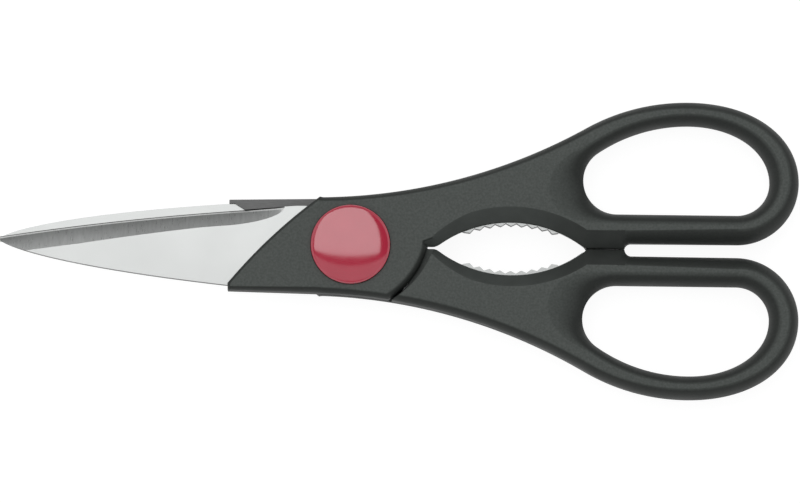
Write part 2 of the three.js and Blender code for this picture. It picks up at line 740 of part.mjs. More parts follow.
function pivotScrew() {
  const headTop = -(BLADE_HIGH + SEAT_GAP);
  const headFace = headTop - HEAD_HEIGHT;
  const shank = solid(turned([
    [0, headFace],
    [HEAD_RADIUS - HEAD_ROUND, headFace],
    [HEAD_RADIUS, headFace + HEAD_ROUND],
    [HEAD_RADIUS, headTop],
    [SCREW_RADIUS, headTop],
    [SCREW_RADIUS, nutHigh],
    [0, nutHigh],
  ]));
  const slot = new THREE.BoxGeometry(2 * HEAD_RADIUS + OVERCUT, SLOT_WIDTH, 2 * SLOT_DEPTH);
  slot.translate(0, 0, headFace);
  return shank.subtract(solid(slot));
}

function springWasher() {
  const bore = SCREW_RADIUS + RUNNING_GAP;
  return turned([
    [bore, washerLow + WASHER_CONE],
    [WASHER_RADIUS, washerLow],
    [WASHER_RADIUS, washerLow + WASHER_THICKNESS],
    [bore, washerLow + WASHER_CONE + WASHER_THICKNESS],
    [bore, washerLow + WASHER_CONE],
  ]);
}

function pivotNut() {
  const bore = SCREW_RADIUS + RUNNING_GAP;
  return turned([
    [bore, nutLow],
    [NUT_RADIUS, nutLow],
    [NUT_RADIUS, nutHigh],
    [bore, nutHigh],
    [bore, nutLow],
  ]);
}

// Domed cap, hollow below, with a skirt that clips into the well
function pivotCap() {
  const low = capFloor + SEAT_GAP;
  const rim = HALF_THICKNESS + CAP_RIM;
  const crown = rim + CAP_RISE - CAP_RIM;
  const roof = rim - CAP_WALL;
  const dome = [];
  for (let i = 0; i < DOME_STEPS; i += 1) {
    const turn = (i / DOME_STEPS) * quarter;
    dome.push([CAP_RADIUS * Math.cos(turn), mix(rim, crown, Math.sin(turn))]);
  }
  dome.push([0, crown]);
  return turned([
    [0, roof],
    [skirtInner, roof],
    [skirtInner, low - SKIRT_LENGTH],
    [skirtOuter, low - SKIRT_LENGTH],
    [skirtOuter, low],
    [CAP_RADIUS, low],
    ...dome,
  ]);
}

// Finishes
const steel = new THREE.MeshStandardMaterial({ color: 0xd9dcdb, roughness: 0.28, metalness: 1 });
const plastic = new THREE.MeshStandardMaterial({ color: 0x3a3c3b, roughness: 0.62, metalness: 0 });
const red = new THREE.MeshStandardMaterial({ color: 0xa51c30, roughness: 0.18, metalness: 0 });
const zinc = new THREE.MeshStandardMaterial({ color: 0xb9bbbb, roughness: 0.35, metalness: 1 });

function named(name, shape, material) {
  const geometry = shape instanceof THREE.BufferGeometry ? shape : geometryOf(shape);
  const mesh = new THREE.Mesh(geometry, material);
  mesh.name = name;
  return mesh;
}

// Assembly: the origin lies under the middle of the closed shears, on the table
const frontHalf = new THREE.Group();
frontHalf.add(named('front_blade', blade(), steel));
frontHalf.add(named('front_handle', handle(frontWell()), plastic));
frontHalf.add(named('pivot_cap', pivotCap(), red));

const rearTurned = new THREE.Group();
rearTurned.rotation.x = Math.PI;
rearTurned.add(named('rear_blade', blade(), steel));
rearTurned.add(named('rear_handle', handle(rearWell()), plastic));

const pivotSet = new THREE.Group();
pivotSet.add(named('pivot_screw', pivotScrew(), zinc));
pivotSet.add(named('spring_washer', springWasher(), zinc));
pivotSet.add(named('pivot_nut', pivotNut(), zinc));

const shears = new THREE.Group();
shears.position.set((BLADE_REACH - LOOP_END) / 2, 0, HALF_THICKNESS);
shears.add(frontHalf, rearTurned, pivotSet);

const part = new THREE.Group();
part.add(shears);

export default part;
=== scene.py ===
"""Multi-purpose household shears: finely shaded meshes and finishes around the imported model.

Each half is drawn in millimetres about the pivot axis, with the shear plane at height 0 and the
blade above it. The function placed() then sets it into the frame, in metres.
"""

import json
import math

import bmesh
import bpy
from mathutils import Matrix, Quaternion, Vector


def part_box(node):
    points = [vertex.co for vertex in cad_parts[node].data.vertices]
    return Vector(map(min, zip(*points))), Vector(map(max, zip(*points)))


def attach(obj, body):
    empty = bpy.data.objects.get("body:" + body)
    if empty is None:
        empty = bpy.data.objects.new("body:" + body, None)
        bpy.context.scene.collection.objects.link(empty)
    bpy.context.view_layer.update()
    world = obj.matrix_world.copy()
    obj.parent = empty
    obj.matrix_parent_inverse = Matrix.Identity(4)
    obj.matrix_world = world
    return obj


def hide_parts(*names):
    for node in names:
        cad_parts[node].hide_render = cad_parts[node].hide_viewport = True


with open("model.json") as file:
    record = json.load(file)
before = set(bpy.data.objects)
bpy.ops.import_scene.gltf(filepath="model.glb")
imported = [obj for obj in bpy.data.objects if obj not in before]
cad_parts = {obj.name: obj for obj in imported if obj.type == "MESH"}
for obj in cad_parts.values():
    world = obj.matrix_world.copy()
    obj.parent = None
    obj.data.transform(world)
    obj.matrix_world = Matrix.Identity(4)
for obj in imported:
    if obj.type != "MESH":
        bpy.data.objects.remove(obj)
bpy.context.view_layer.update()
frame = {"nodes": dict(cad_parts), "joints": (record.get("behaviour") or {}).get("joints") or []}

MM = 0.001
PIVOT = Vector(frame["joints"][0]["pos_m"])
QUARTER = math.pi / 2

# Reach from the pivot axis
BLADE_REACH = 87.9
LOOP_END = 112.1
LOOP_TOP = 37.45
HALF_THICKNESS = 5.5

# Clearances
BLADE_GAP = 0.2
MOULD_GAP = 0.2
PAD_GAP = 0.3
LIP_GAP = 0.3
LIP_CLEARANCE = 0.15
RUNNING_GAP = 0.1
SEAT_GAP = 0.1
WELL_GAP = 0.3

# Blade stamping
BLADE_THICKNESS = 2.5
POINT_FLAT = 0.6
EDGE_RISE = 9.9
EDGE_END = -13.6
EDGE_BOW = 0.95
SPINE_DEPTH = 10.4
SPINE_SLOPE = 0.089
SPINE_RUN = 46
SPINE_NOSE = 1.2
SWEEP = 0.0133
SWEEP_START = 17.5

# Ground bevel along the cutting edge
BEVEL_WIDTH = 3.85
BEVEL_WIDENING = 0.95
WIDENING_START = 38
WIDENING_RUN = 30
BEVEL_END = -16.6
BEVEL_RUN_OUT = 14.5
EDGE_LAND = 0.5
MICRO_BEVEL = 0.6
MICRO_SLOPE = 0.8
MICRO_LAND = 0.12
BURR = 0.25

# Tang, held inside the handle
TANG_TURN = 10.4
TANG_TURN_END = -10
TANG_SHOULDER = 6.5
TANG_RISE = 27
TANG_HEIGHT = 12.6
TANG_INSET = 1.6
TANG_TAIL = 2.4
# Where the painted shade of the moulding begins along the tang
TANG_SHADE_START = 13

# Teeth of the bottle grip
TOOTH_COUNT = 9
TOOTH_PITCH = 2.615
TOOTH_HEIGHT = 0.7
TOOTH_REACH = 1.12
TOOTH_TIP = 0.6
TOOTH_CROWN = 0.13

# Shoulder of the handle, lapped over the blade
SHOULDER_REACH = 30.5
SHOULDER_HALF = 12.03
SHOULDER_TAPER = 0.48
SHOULDER_END = 1.6
SHOULDER_NOSE = -7.8
NOSE_SLOPE = 1.2
DIAGONAL_RADIUS = 130
LAP_CENTRE = Vector((-1.7, 4.85))
LAP_RADIUS = 21.5
LAP_GAP = 2.05
LAP_LIFT = 1.7
LIP_DEPTH = 0.7
LIP_FALL = 0.25
LIP_END = -8
LIP_STEP = 4.1
LIP_NOSE = 10.6
LIP_BLUNT = 1.4

# Bottle grip arch between the arms
SLIT_LENGTH = 1.14
SLIT_HALF = 0.27
FLARE_RADIUS = 3
ARCH_RADIUS = 30.5
ARCH_DEPTH = 6.63
ARCH_HAUNCH = 9
ARCH_DRAFT = 0.1
PAD_DRAFT = 0.03
PAD_FADE = 22
FINISH_MARGIN = 0.4

# Finger loop
SLOT_START = 68.5
SLOT_HALF = 1.63
CORNER_RADIUS = 15.67
CROWN_PLACE = 84.5
CROWN_RADIUS = 51.5
BOW_FULLNESS = 0.59
HOLE_FULLNESS = 0.57
BOW_WIDTH = 7.35
BOW_CROWN_WIDTH = 5.9
HOLE_CROWN_RADIUS = 40
HOLE_END_RADIUS = 8.5

# Edge bands, from the parting line back to the flat face
SLIT_BAND = 0.9
KNEE_BAND = 1.9
FLARE_BAND = 2.2
ARCH_BAND = 3.3
PAD_BAND = 4.25
SLOT_END_BAND = 2.6
SLOT_TOP_BAND = 2.85
SLOT_BAND = 3.5
BOW_BAND = 2.9
CROWN_BAND = 2.45
ARM_BAND = 2.0
SHOULDER_BAND = 1.4
HEEL_BAND = 0.8
DIAGONAL_BAND = 0.75
LAP_BAND = 1.5
HOLE_BAND = 3.1
HOLE_CROWN_BAND = 2.55
HOLE_END_BAND = 9.2
HOLE_END_LEAN = 195
HOLE_END_FOCUS = 4

# Height of the plain wall at the parting line, each side of it
ARCH_WALL = 3.1
PAD_END_WALL = 2.0
SLOT_TOP_WALL = 1.2
BOW_WALL = 0.5
ARM_WALL = 1.6
SHOULDER_WALL = 3.6
DIAGONAL_WALL = 4.9

# Roundness of the bands: 0 is a straight chamfer, 1 a quarter ellipse
CHAMFER = 0.0
PAD_ROUND = 0.3
SLOT_ROUND = 0.5
SHOULDER_ROUND = 0.6
BOW_ROUND = 0.8
HOLE_END_ROUND = 0.35

# Fillets that soften the bands where they meet the wall and the flat face
WALL_FILLET = 0.25
CREST_FILLET = 0.22

# Pivot set
SCREW_RADIUS = 3
HEAD_RADIUS = 6
HEAD_HEIGHT = 2.1
HEAD_ROUND = 0.5
SLOT_WIDTH = 1.6
SLOT_DEPTH = 1.1
NUT_RADIUS = 5.6

# Pivot cap
CAP_RADIUS = 9.9
CAP_RISE = 1.9
CAP_RIM = 0.5
CAP_SEAT = 0.8
CAP_WALL = 1.0
CAP_GAP = 0.14
SKIRT_WALL = 0.9
SKIRT_LENGTH = 1.0

# Fineness of the meshes
FACET_TURN = math.radians(2.5)
FACET_RUN = 0.9
FILLET_STEPS = 3
BAND_STEPS = 7
BEVEL_STEPS = 40
DOME_STEPS = 32
ROUND_SIDES = 160
SHARP_TURN = math.radians(6)
SHADE_ANGLE = math.radians(20)
WELD_REACH = 1e-5
FLAT_REACH = 1e-6
OVERCUT = 1

# Heights that follow from the sizes
BLADE_LOW = BLADE_GAP / 2
BLADE_HIGH = BLADE_LOW + BLADE_THICKNESS
LAP_TOP = BLADE_HIGH + MOULD_GAP


# Curves in the plane


def left_of(heading):
    return Vector((-heading.y, heading.x))


def mirrored(p):
    return Vector((p.x, -p.y))


def mix(a, b, t):
    return a + (b - a) * t


def angle_from(centre, p):
    return math.atan2(p.y - centre.y, p.x - centre.x)


class Line:
    """Straight stretch from a to b."""

    def __init__(self, a, b):
        self.a = a
        self.b = b
        self.steps = 1

    def place(self, t):
        return self.a.lerp(self.b, t)

    def heading(self, t):
        return (self.b - self.a).normalized()


class Arc:
    """Stretch of a circle or an upright ellipse, from one angle to another."""

    def __init__(self, centre, radius_x, radius_y, start, end):
        self.centre = centre
        self.radii = (radius_x, radius_y)
        self.start = start
        self.sweep = end - start
        length = max(self.radii) * abs(self.sweep)
        self.steps = math.ceil(max(abs(self.sweep) / FACET_TURN, length / FACET_RUN))

    def place(self, t):
        angle = self.start + self.sweep * t
        across, up = self.radii
        return self.centre + Vector((across * math.cos(angle), up * math.sin(angle)))

    def heading(self, t):
        angle = self.start + self.sweep * t
        across, up = self.radii
        way = Vector((-across * math.sin(angle), up * math.cos(angle)))
        return way.normalized() * math.copysign(1, self.sweep)


class Bezier:
    """Cubic curve through its first and last control point."""

    def __init__(self, *points):
        self.points = points
        self.steps = math.ceil((points[-1] - points[0]).length / FACET_RUN)

    def place(self, t):
        a, b, c, d = self.points
        s = 1 - t
        return a * s**3 + b * (3 * s * s * t) + c * (3 * s * t * t) + d * t**3

    def heading(self, t):
        a, b, c, d = self.points
        s = 1 - t
        return ((b - a) * (s * s) + (c - b) * (2 * s * t) + (d - c) * (t * t)).normalized()


def circle_arc(centre, radius, start, end):
    return Arc(centre, radius, radius, start, end)


def arc_between(centre, radius, a, b):
    start = angle_from(centre, a)
    return circle_arc(centre, radius, start, angle_from(centre, b))


def bulging_arc(a, b, radius):
    """Arc from a to b whose middle bulges to the right of the way there."""
    chord = b - a
    drop = math.sqrt(radius**2 - chord.length_squared / 4)
    centre = (a + b) / 2 + left_of(chord.normalized()) * drop
    start = angle_from(centre, a)
    return circle_arc(centre, radius, start, start + 2 * math.asin(chord.length / 2 / radius))


def full_corner(centre, width, height, fullness):
    """Control points of a full corner curve, from the right of a centre round to its top."""
    across = Vector((width, 0))
    up = Vector((0, height))
    return [
        centre + across,
        centre + across + up * fullness,
        centre + across * fullness + up,
        centre + up,
    ]


def crossing(centre_a, radius_a, centre_b, radius_b):
    """Crossing of two circles, on the right of the way from the first centre to the second."""
    way = centre_b - centre_a
    along = (way.length_squared + radius_a**2 - radius_b**2) / (2 * way.length)
    aside = math.sqrt(radius_a**2 - along**2)
    way.normalize()
    return centre_a + way * along - left_of(way) * aside


def traced(curve, last=False):
    """Points of a curve, with or without its last one."""
    count = curve.steps + 1 if last else curve.steps
    return [curve.place(i / curve.steps) for i in range(count)]


# Mesh building


def mesh_object(name, points, faces):
    mesh = bpy.data.meshes.new(name)
    mesh.from_pydata(points, [], faces)
    thing = bpy.data.objects.new(name, mesh)
    bpy.context.collection.objects.link(thing)
    return thing


def combine(body, tool, operation="DIFFERENCE"):
    """Cuts a body with a tool, or joins them, and removes the tool."""
    modifier = body.modifiers.new("combine", "BOOLEAN")
    modifier.operation = operation
    modifier.solver = "EXACT"
    modifier.object = tool
    depsgraph = bpy.context.evaluated_depsgraph_get()
    mesh = bpy.data.meshes.new_from_object(body.evaluated_get(depsgraph))
    body.modifiers.clear()
    body.data = mesh
    bpy.data.objects.remove(tool)


def prism(name, outline, low, high):
    count = len(outline)
    points = [(p.x, p.y, low) for p in outline] + [(p.x, p.y, high) for p in outline]
    faces = [tuple(reversed(range(count))), tuple(range(count, 2 * count))]
    for i in range(count):
        j = (i + 1) % count
        faces.append((i, j, count + j, count + i))
    return mesh_object(name, points, faces)


def turned(name, profile, closed=False):
    """Body of revolution about the pivot axis, from radius and height pairs."""
    points = []
    for i in range(ROUND_SIDES):
        turn = 2 * math.pi * i / ROUND_SIDES
        points += [(r * math.cos(turn), r * math.sin(turn), z) for r, z in profile]
    count = len(profile)
    pairs = [(k, k + 1) for k in range(count - 1)]
    if closed:
        pairs.append((count - 1, 0))
    faces = []
    for i in range(ROUND_SIDES):
        a = i * count
        b = (i + 1) % ROUND_SIDES * count
        faces += [(a + k, b + k, b + m, a + m) for k, m in pairs]
    body = mesh_object(name, points, faces)
    cleaned(body)
    return body


def cleaned(body):
    """Welds coincident points and drops the flat faces that this leaves."""
    bm = bmesh.new()
    bm.from_mesh(body.data)
    bmesh.ops.remove_doubles(bm, verts=bm.verts, dist=WELD_REACH)
    bmesh.ops.dissolve_degenerate(bm, edges=bm.edges, dist=FLAT_REACH)
    bmesh.ops.recalc_face_normals(bm, faces=bm.faces)
    bm.to_mesh(body.data)
    bm.free()


def drum(name, radius, low, high):
    return turned(name, [(0, low), (radius, low), (radius, high), (0, high)])


def loft(name, sections):
    count = len(sections[0])
    points = [p for section in sections for p in section]
    faces = [tuple(range(count)), tuple(reversed(range(len(points) - count, len(points))))]
    for s in range(len(sections) - 1):
        for i in range(count):
            a = s * count + i
            b = s * count + (i + 1) % count
            faces.append((a, a + count, b + count, b))
    body = mesh_object(name, points, faces)
    cleaned(body)
    return body


def shaded(body):
    """Smooth shading that breaks at sharp edges, with the flat faces kept even."""
    bm = bmesh.new()
    bm.from_mesh(body.data)
    for face in bm.faces:
        face.smooth = True
    for edge in bm.edges:
        edge.smooth = len(edge.link_faces) == 2 and edge.calc_face_angle(0) < SHADE_ANGLE
    bm.to_mesh(body.data)
    bm.free()
    even = body.modifiers.new("even_normals", "WEIGHTED_NORMAL")
    even.keep_sharp = True


def placed(body, flipped=False):
    """Sets a body into the frame and shades it; the rear half is turned over first."""
    half_turn = Matrix.Rotation(math.pi if flipped else 0, 4, "X")
    body.data.transform(Matrix.Translation(PIVOT) @ Matrix.Scale(MM, 4) @ half_turn)
    body.data.update()
    shaded(body)
    return body


# Blade

point = Vector((-BLADE_REACH, 0))
edge_start = Vector((-BLADE_REACH, POINT_FLAT))
edge_end = Vector((EDGE_END, EDGE_RISE))
spine_end = Vector((-SHOULDER_REACH, -SPINE_DEPTH))
edge_radius = ((edge_start - edge_end).length_squared / 4 + EDGE_BOW**2) / (2 * EDGE_BOW)
edge_curve = bulging_arc(edge_end, edge_start, edge_radius)

# Places along the arch, which begins past the slit and its flare
slit_reach = math.sqrt(LAP_RADIUS**2 - (SLIT_HALF - LAP_CENTRE.y) ** 2)
slit_start = Vector((LAP_CENTRE.x + slit_reach, SLIT_HALF))
arch_level = ARCH_DEPTH - ARCH_RADIUS
flare_centre = Vector((slit_start.x + SLIT_LENGTH, SLIT_HALF + FLARE_RADIUS))
flare_reach = math.sqrt((ARCH_RADIUS + FLARE_RADIUS) ** 2 - (flare_centre.y - arch_level) ** 2)
arch_centre = Vector((flare_centre.x + flare_reach, arch_level))

tip_radius = ARCH_RADIUS - TOOTH_REACH
root_radius = tip_radius + TOOTH_HEIGHT
tooth_step = TOOTH_PITCH / tip_radius
row_start = QUARTER + TOOTH_COUNT / 2 * tooth_step
row_end = QUARTER - TOOTH_COUNT / 2 * tooth_step


def spine_curve():
    nose = Vector((point.x, point.y - SPINE_NOSE))
    run = Vector((spine_end.x - SPINE_RUN, spine_end.y + SPINE_RUN * SPINE_SLOPE))
    return Bezier(point, nose, run, spine_end)


def edge_height(x):
    reach = (x - edge_curve.centre.x) / edge_radius
    return edge_curve.centre.y + edge_radius * math.sqrt(1 - reach**2)


def arch_point(radius, angle):
    return arch_centre + Vector((radius * math.cos(angle), radius * math.sin(angle)))


def tooth_row():
    """Rounded teeth along the arch, from left to right."""
    flank = TOOTH_TIP / tip_radius / 2
    shoulder = tip_radius + TOOTH_CROWN
    points = []
    for i in range(TOOTH_COUNT):
        middle = row_start - (i + 0.5) * tooth_step
        points += [
            arch_point(root_radius, middle + tooth_step / 2),
            arch_point(shoulder, middle + flank),
            arch_point(tip_radius, middle),
            arch_point(shoulder, middle - flank),
        ]
    points.append(arch_point(root_radius, row_end))
    return points


def tooth_strip():
    """Plain strip in place of the teeth, for the slot in the handle."""
    return traced(circle_arc(arch_centre, tip_radius, row_start, row_end), last=True)


def blade_outline(arch_side):
    neck = arch_point(root_radius + TANG_INSET, row_start + TANG_INSET / root_radius)
    tail = arch_point(root_radius, row_end) + Vector((TANG_TAIL, TANG_TAIL))
    turn = circle_arc(Vector((0, 0)), TANG_TURN, -QUARTER, math.radians(TANG_TURN_END))
    return [
        *traced(spine_curve()),
        spine_end,
        *traced(turn),
        neck,
        *arch_side,
        tail,
        Vector((tail.x - TANG_TAIL, TANG_HEIGHT)),
        Vector((TANG_RISE, TANG_HEIGHT)),
        Vector((TANG_SHOULDER, EDGE_RISE)),
        *traced(edge_curve),
        edge_start,
    ]


def full_bevel(x):
    """Width of the ground band, growing towards the point."""
    share = (-x - WIDENING_START) / WIDENING_RUN
    return BEVEL_WIDTH + BEVEL_WIDENING * min(1, max(0, share))


def bevel_width(x):
    """Width of the ground band, running out in a quarter ellipse near the shoulder."""
    reach = (x - (BEVEL_END - BEVEL_RUN_OUT)) / BEVEL_RUN_OUT
    if reach <= 0:
        return full_bevel(x)
    return full_bevel(x) * math.sqrt(max(0, 1 - reach**2))


def bevel_section(x):
    """Section of the room above the bevel, the honed strip and the burr at the edge."""
    slope = (BLADE_THICKNESS - EDGE_LAND) / full_bevel(x)
    width = bevel_width(x)
    edge = edge_height(x)
    share = width / full_bevel(x)
    micro = min(MICRO_BEVEL, width / 2)
    burr = min(BURR, width / 4)
    micro_high = BLADE_HIGH - slope * (width - micro)
    burr_high = micro_high - MICRO_SLOPE * (micro - burr)
    burr_low = mix(BLADE_HIGH - slope * width, BLADE_LOW + MICRO_LAND, share)
    fall = (burr_high - burr_low) / burr
    return [
        (x, edge + OVERCUT, BLADE_HIGH + OVERCUT),
        (x, edge - width, BLADE_HIGH + OVERCUT),
        (x, edge - width, BLADE_HIGH),
        (x, edge - micro, micro_high),
        (x, edge - burr, burr_high),
        (x, edge + OVERCUT, burr_low - fall * OVERCUT),
    ]


def bevel_cutter():
    run_out = BEVEL_END - BEVEL_RUN_OUT
    steps = [i / BEVEL_STEPS for i in range(1, BEVEL_STEPS)]
    stations = [-BLADE_REACH - OVERCUT]
    stations += [mix(-BLADE_REACH, run_out, t) for t in steps]
    stations += [run_out + BEVEL_RUN_OUT * math.sin(t * QUARTER) for t in [0, *steps]]
    return loft("bevel_cutter", [bevel_section(x) for x in stations])


def blade(name, flipped):
    body = prism(name, blade_outline(tooth_row()), BLADE_LOW, BLADE_HIGH)
    combine(body, bevel_cutter())
    combine(body, drum("bore", SCREW_RADIUS + RUNNING_GAP, -OVERCUT, BLADE_HIGH + OVERCUT))
    lean = -SWEEP if flipped else SWEEP
    for vertex in body.data.vertices:
        vertex.co.y += lean * max(0, -vertex.co.x - SWEEP_START)
    return placed(body, flipped)


# Handle: a moulding whose outline carries rounded bands of changing width

pad_level = PAD_GAP / 2
corner_centre = Vector((LOOP_END - CORNER_RADIUS, SLOT_HALF + CORNER_RADIUS))
crown_centre = Vector((CROWN_PLACE, LOOP_TOP - CROWN_RADIUS))
end_centre = Vector((CROWN_PLACE, corner_centre.y))
nose_high = Vector((SHOULDER_NOSE, SHOULDER_HALF))

# Edges as they stand at one place of the outline: band, wall, roundness, and the draft that
# leans the plain wall, so that it stands further out on the side of the blade
SLIT_EDGE = (SLIT_BAND, ARCH_WALL, CHAMFER, ARCH_DRAFT)
KNEE_EDGE = (KNEE_BAND, ARCH_WALL, CHAMFER, ARCH_DRAFT)
FLARE_EDGE = (FLARE_BAND, ARCH_WALL, CHAMFER, ARCH_DRAFT)
ARCH_EDGE = (ARCH_BAND, ARCH_WALL, CHAMFER, ARCH_DRAFT)
PAD_START = (PAD_BAND, ARCH_WALL, CHAMFER, PAD_DRAFT)
PAD_END = (PAD_BAND, PAD_END_WALL, PAD_ROUND, 0)
SLOT_END_EDGE = (SLOT_END_BAND, PAD_END_WALL, PAD_ROUND, 0)
SLOT_TOP_EDGE = (SLOT_TOP_BAND, SLOT_TOP_WALL, SLOT_ROUND, 0)
SLOT_EDGE = (SLOT_BAND, BOW_WALL, SLOT_ROUND, 0)
BOW_EDGE = (BOW_BAND, BOW_WALL, BOW_ROUND, 0)
CROWN_EDGE = (CROWN_BAND, BOW_WALL, BOW_ROUND, 0)
ARM_EDGE = (ARM_BAND, ARM_WALL, BOW_ROUND, 0)
SHOULDER_EDGE = (SHOULDER_BAND, SHOULDER_WALL, SHOULDER_ROUND, 0)
DIAGONAL_EDGE = (DIAGONAL_BAND, DIAGONAL_WALL, CHAMFER, 0)
HEEL_EDGE = (HEEL_BAND, SHOULDER_WALL, SHOULDER_ROUND, 0)
LAP_EDGE = (LAP_BAND, SHOULDER_WALL, SHOULDER_ROUND, 0)


class Stretch:
    """One stretch of the outline, whose edge changes evenly from its start to its end."""

    def __init__(self, curve, start, end=None):
        self.curve = curve
        self.start = start
        self.end = end or start

    def edge(self, t):
        return tuple(mix(a, b, t) for a, b in zip(self.start, self.end))


class HoleStretch:
    """One stretch of the finger hole, whose band widens towards the pivot."""

    def __init__(self, curve):
        self.curve = curve

    def edge(self, t):
        inward = left_of(self.curve.heading(t))
        turn = math.atan2(inward.y, inward.x) - math.radians(HOLE_END_LEAN)
        lean = max(0, math.cos(turn)) ** HOLE_END_FOCUS
        side = mix(HOLE_BAND, HOLE_CROWN_BAND, max(0, inward.y) ** 2)
        return (mix(side, HOLE_END_BAND, lean), BOW_WALL, mix(BOW_ROUND, HOLE_END_ROUND, lean), 0)


def arm_circle():
    """Hollow edge of the arm: leaves the shoulder at a small slope and meets the loop's crown."""
    slope = math.radians(NOSE_SLOPE)
    up = Vector((-math.sin(slope), math.cos(slope)))
    offset = nose_high - crown_centre
    radius = (CROWN_RADIUS**2 - offset.length_squared) / (2 * offset.dot(up) - 2 * CROWN_RADIUS)
    centre = nose_high + up * radius
    meeting = crown_centre.lerp(centre, CROWN_RADIUS / (CROWN_RADIUS + radius))
    return centre, radius, meeting


def outer_stretches():
    arm_centre, arm_radius, meeting = arm_circle()
    arm_low = mirrored(arm_centre)
    nose_low = mirrored(nose_high)
    heel = Vector((-SHOULDER_REACH, SHOULDER_TAPER - SHOULDER_HALF))
    toe = Vector((-SHOULDER_REACH, heel.y + SHOULDER_END))
    lap_low = crossing(arm_low, arm_radius, LAP_CENTRE, LAP_RADIUS)
    flare_start = Vector((flare_centre.x, SLIT_HALF))
    arch_start = flare_centre.lerp(arch_centre, FLARE_RADIUS / (FLARE_RADIUS + ARCH_RADIUS))
    haunch = arch_point(ARCH_RADIUS, math.acos(-ARCH_HAUNCH / ARCH_RADIUS))
    arch_reach = math.sqrt(ARCH_RADIUS**2 - (pad_level - arch_centre.y) ** 2)
    arch_end = Vector((arch_centre.x + arch_reach, pad_level))
    slot_centre = Vector((SLOT_START + SLOT_HALF, 0))
    slot_reach = math.sqrt(SLOT_HALF**2 - pad_level**2)
    slot_corner = Vector((slot_centre.x - slot_reach, pad_level))
    slot_top = Vector((slot_centre.x, SLOT_HALF))
    slot_end = Vector((corner_centre.x, SLOT_HALF))
    crown = Vector((CROWN_PLACE, LOOP_TOP))
    end_rise = crown.y - end_centre.y
    bow = Bezier(*full_corner(end_centre, LOOP_END - end_centre.x, end_rise, BOW_FULLNESS))
    corner = circle_arc(corner_centre, CORNER_RADIUS, -QUARTER, 0)
    flare = arc_between(flare_centre, FLARE_RADIUS, flare_start, arch_start)
    slot_round = arc_between(slot_centre, SLOT_HALF, slot_corner, slot_top)
    return [
        Stretch(Line(slit_start, flare_start), SLIT_EDGE, KNEE_EDGE),
        Stretch(flare, KNEE_EDGE, FLARE_EDGE),
        Stretch(arc_between(arch_centre, ARCH_RADIUS, arch_start, haunch), FLARE_EDGE, ARCH_EDGE),
        Stretch(arc_between(arch_centre, ARCH_RADIUS, haunch, arch_end), ARCH_EDGE),
        Stretch(Line(arch_end, slot_corner), PAD_START, PAD_END),
        Stretch(slot_round, SLOT_END_EDGE, SLOT_TOP_EDGE),
        Stretch(Line(slot_top, slot_end), SLOT_TOP_EDGE, SLOT_EDGE),
        Stretch(corner, SLOT_EDGE, BOW_EDGE),
        Stretch(bow, BOW_EDGE, CROWN_EDGE),
        Stretch(arc_between(crown_centre, CROWN_RADIUS, crown, meeting), CROWN_EDGE, ARM_EDGE),
        Stretch(arc_between(arm_centre, arm_radius, meeting, nose_high), ARM_EDGE, SHOULDER_EDGE),
        Stretch(bulging_arc(nose_high, toe, DIAGONAL_RADIUS), DIAGONAL_EDGE),
        Stretch(Line(toe, heel), DIAGONAL_EDGE),
        Stretch(Line(heel, nose_low), HEEL_EDGE, SHOULDER_EDGE),
        Stretch(arc_between(arm_low, arm_radius, nose_low, lap_low), SHOULDER_EDGE),
        Stretch(arc_between(LAP_CENTRE, LAP_RADIUS, lap_low, slit_start), LAP_EDGE),
    ]


def hole_stretches():
    """Finger hole, clockwise, so that the handle lies on the left as it does outside."""
    bottom = SLOT_HALF + BOW_WIDTH
    top = LOOP_TOP - BOW_CROWN_WIDTH
    hole_end = LOOP_END - BOW_WIDTH
    crown_middle = Vector((CROWN_PLACE, top - HOLE_CROWN_RADIUS))
    back_level = bottom + HOLE_END_RADIUS
    back_gap = HOLE_CROWN_RADIUS - HOLE_END_RADIUS
    back_reach = math.sqrt(back_gap**2 - (back_level - crown_middle.y) ** 2)
    back = Vector((CROWN_PLACE - back_reach, back_level))
    join = angle_from(crown_middle, back)
    corner_radius = CORNER_RADIUS - BOW_WIDTH
    end = full_corner(end_centre, hole_end - end_centre.x, top - end_centre.y, HOLE_FULLNESS)
    curves = [
        Line(Vector((corner_centre.x, bottom)), Vector((back.x, bottom))),
        circle_arc(back, HOLE_END_RADIUS, 3 * QUARTER, join),
        circle_arc(crown_middle, HOLE_CROWN_RADIUS, join, QUARTER),
        Bezier(*reversed(end)),
        circle_arc(corner_centre, corner_radius, 0, -QUARTER),
    ]
    return [HoleStretch(curve) for curve in curves]


def corner_inset(heading_in, band_in, heading_out, band_out):
    """Inset at a corner that lies one band width from each of the two edges that meet there."""
    a = left_of(heading_in)
    b = left_of(heading_out)
    turn = a.x * b.y - a.y * b.x
    return Vector((band_in * b.y - band_out * a.y, a.x * band_out - b.x * band_in)) / turn


def crest_slides(stretches):
    """How far the crest slides along each stretch at its ends, where stretches meet at a corner."""
    slides = [[0, 0] for _ in stretches]
    for j, after in enumerate(stretches):
        before = stretches[j - 1]
        heading_in = before.curve.heading(1)
        heading_out = after.curve.heading(0)
        if heading_in.angle(heading_out) < SHARP_TURN:
            continue
        inset = corner_inset(heading_in, before.edge(1)[0], heading_out, after.edge(0)[0])
        slides[j - 1][1] = inset.dot(heading_in)
        slides[j][0] = inset.dot(heading_out)
    return slides


def bent(a, corner, b, t):
    """Point of the curve that rounds a corner from a to b."""
    return a.lerp(corner, t).lerp(corner.lerp(b, t), t)


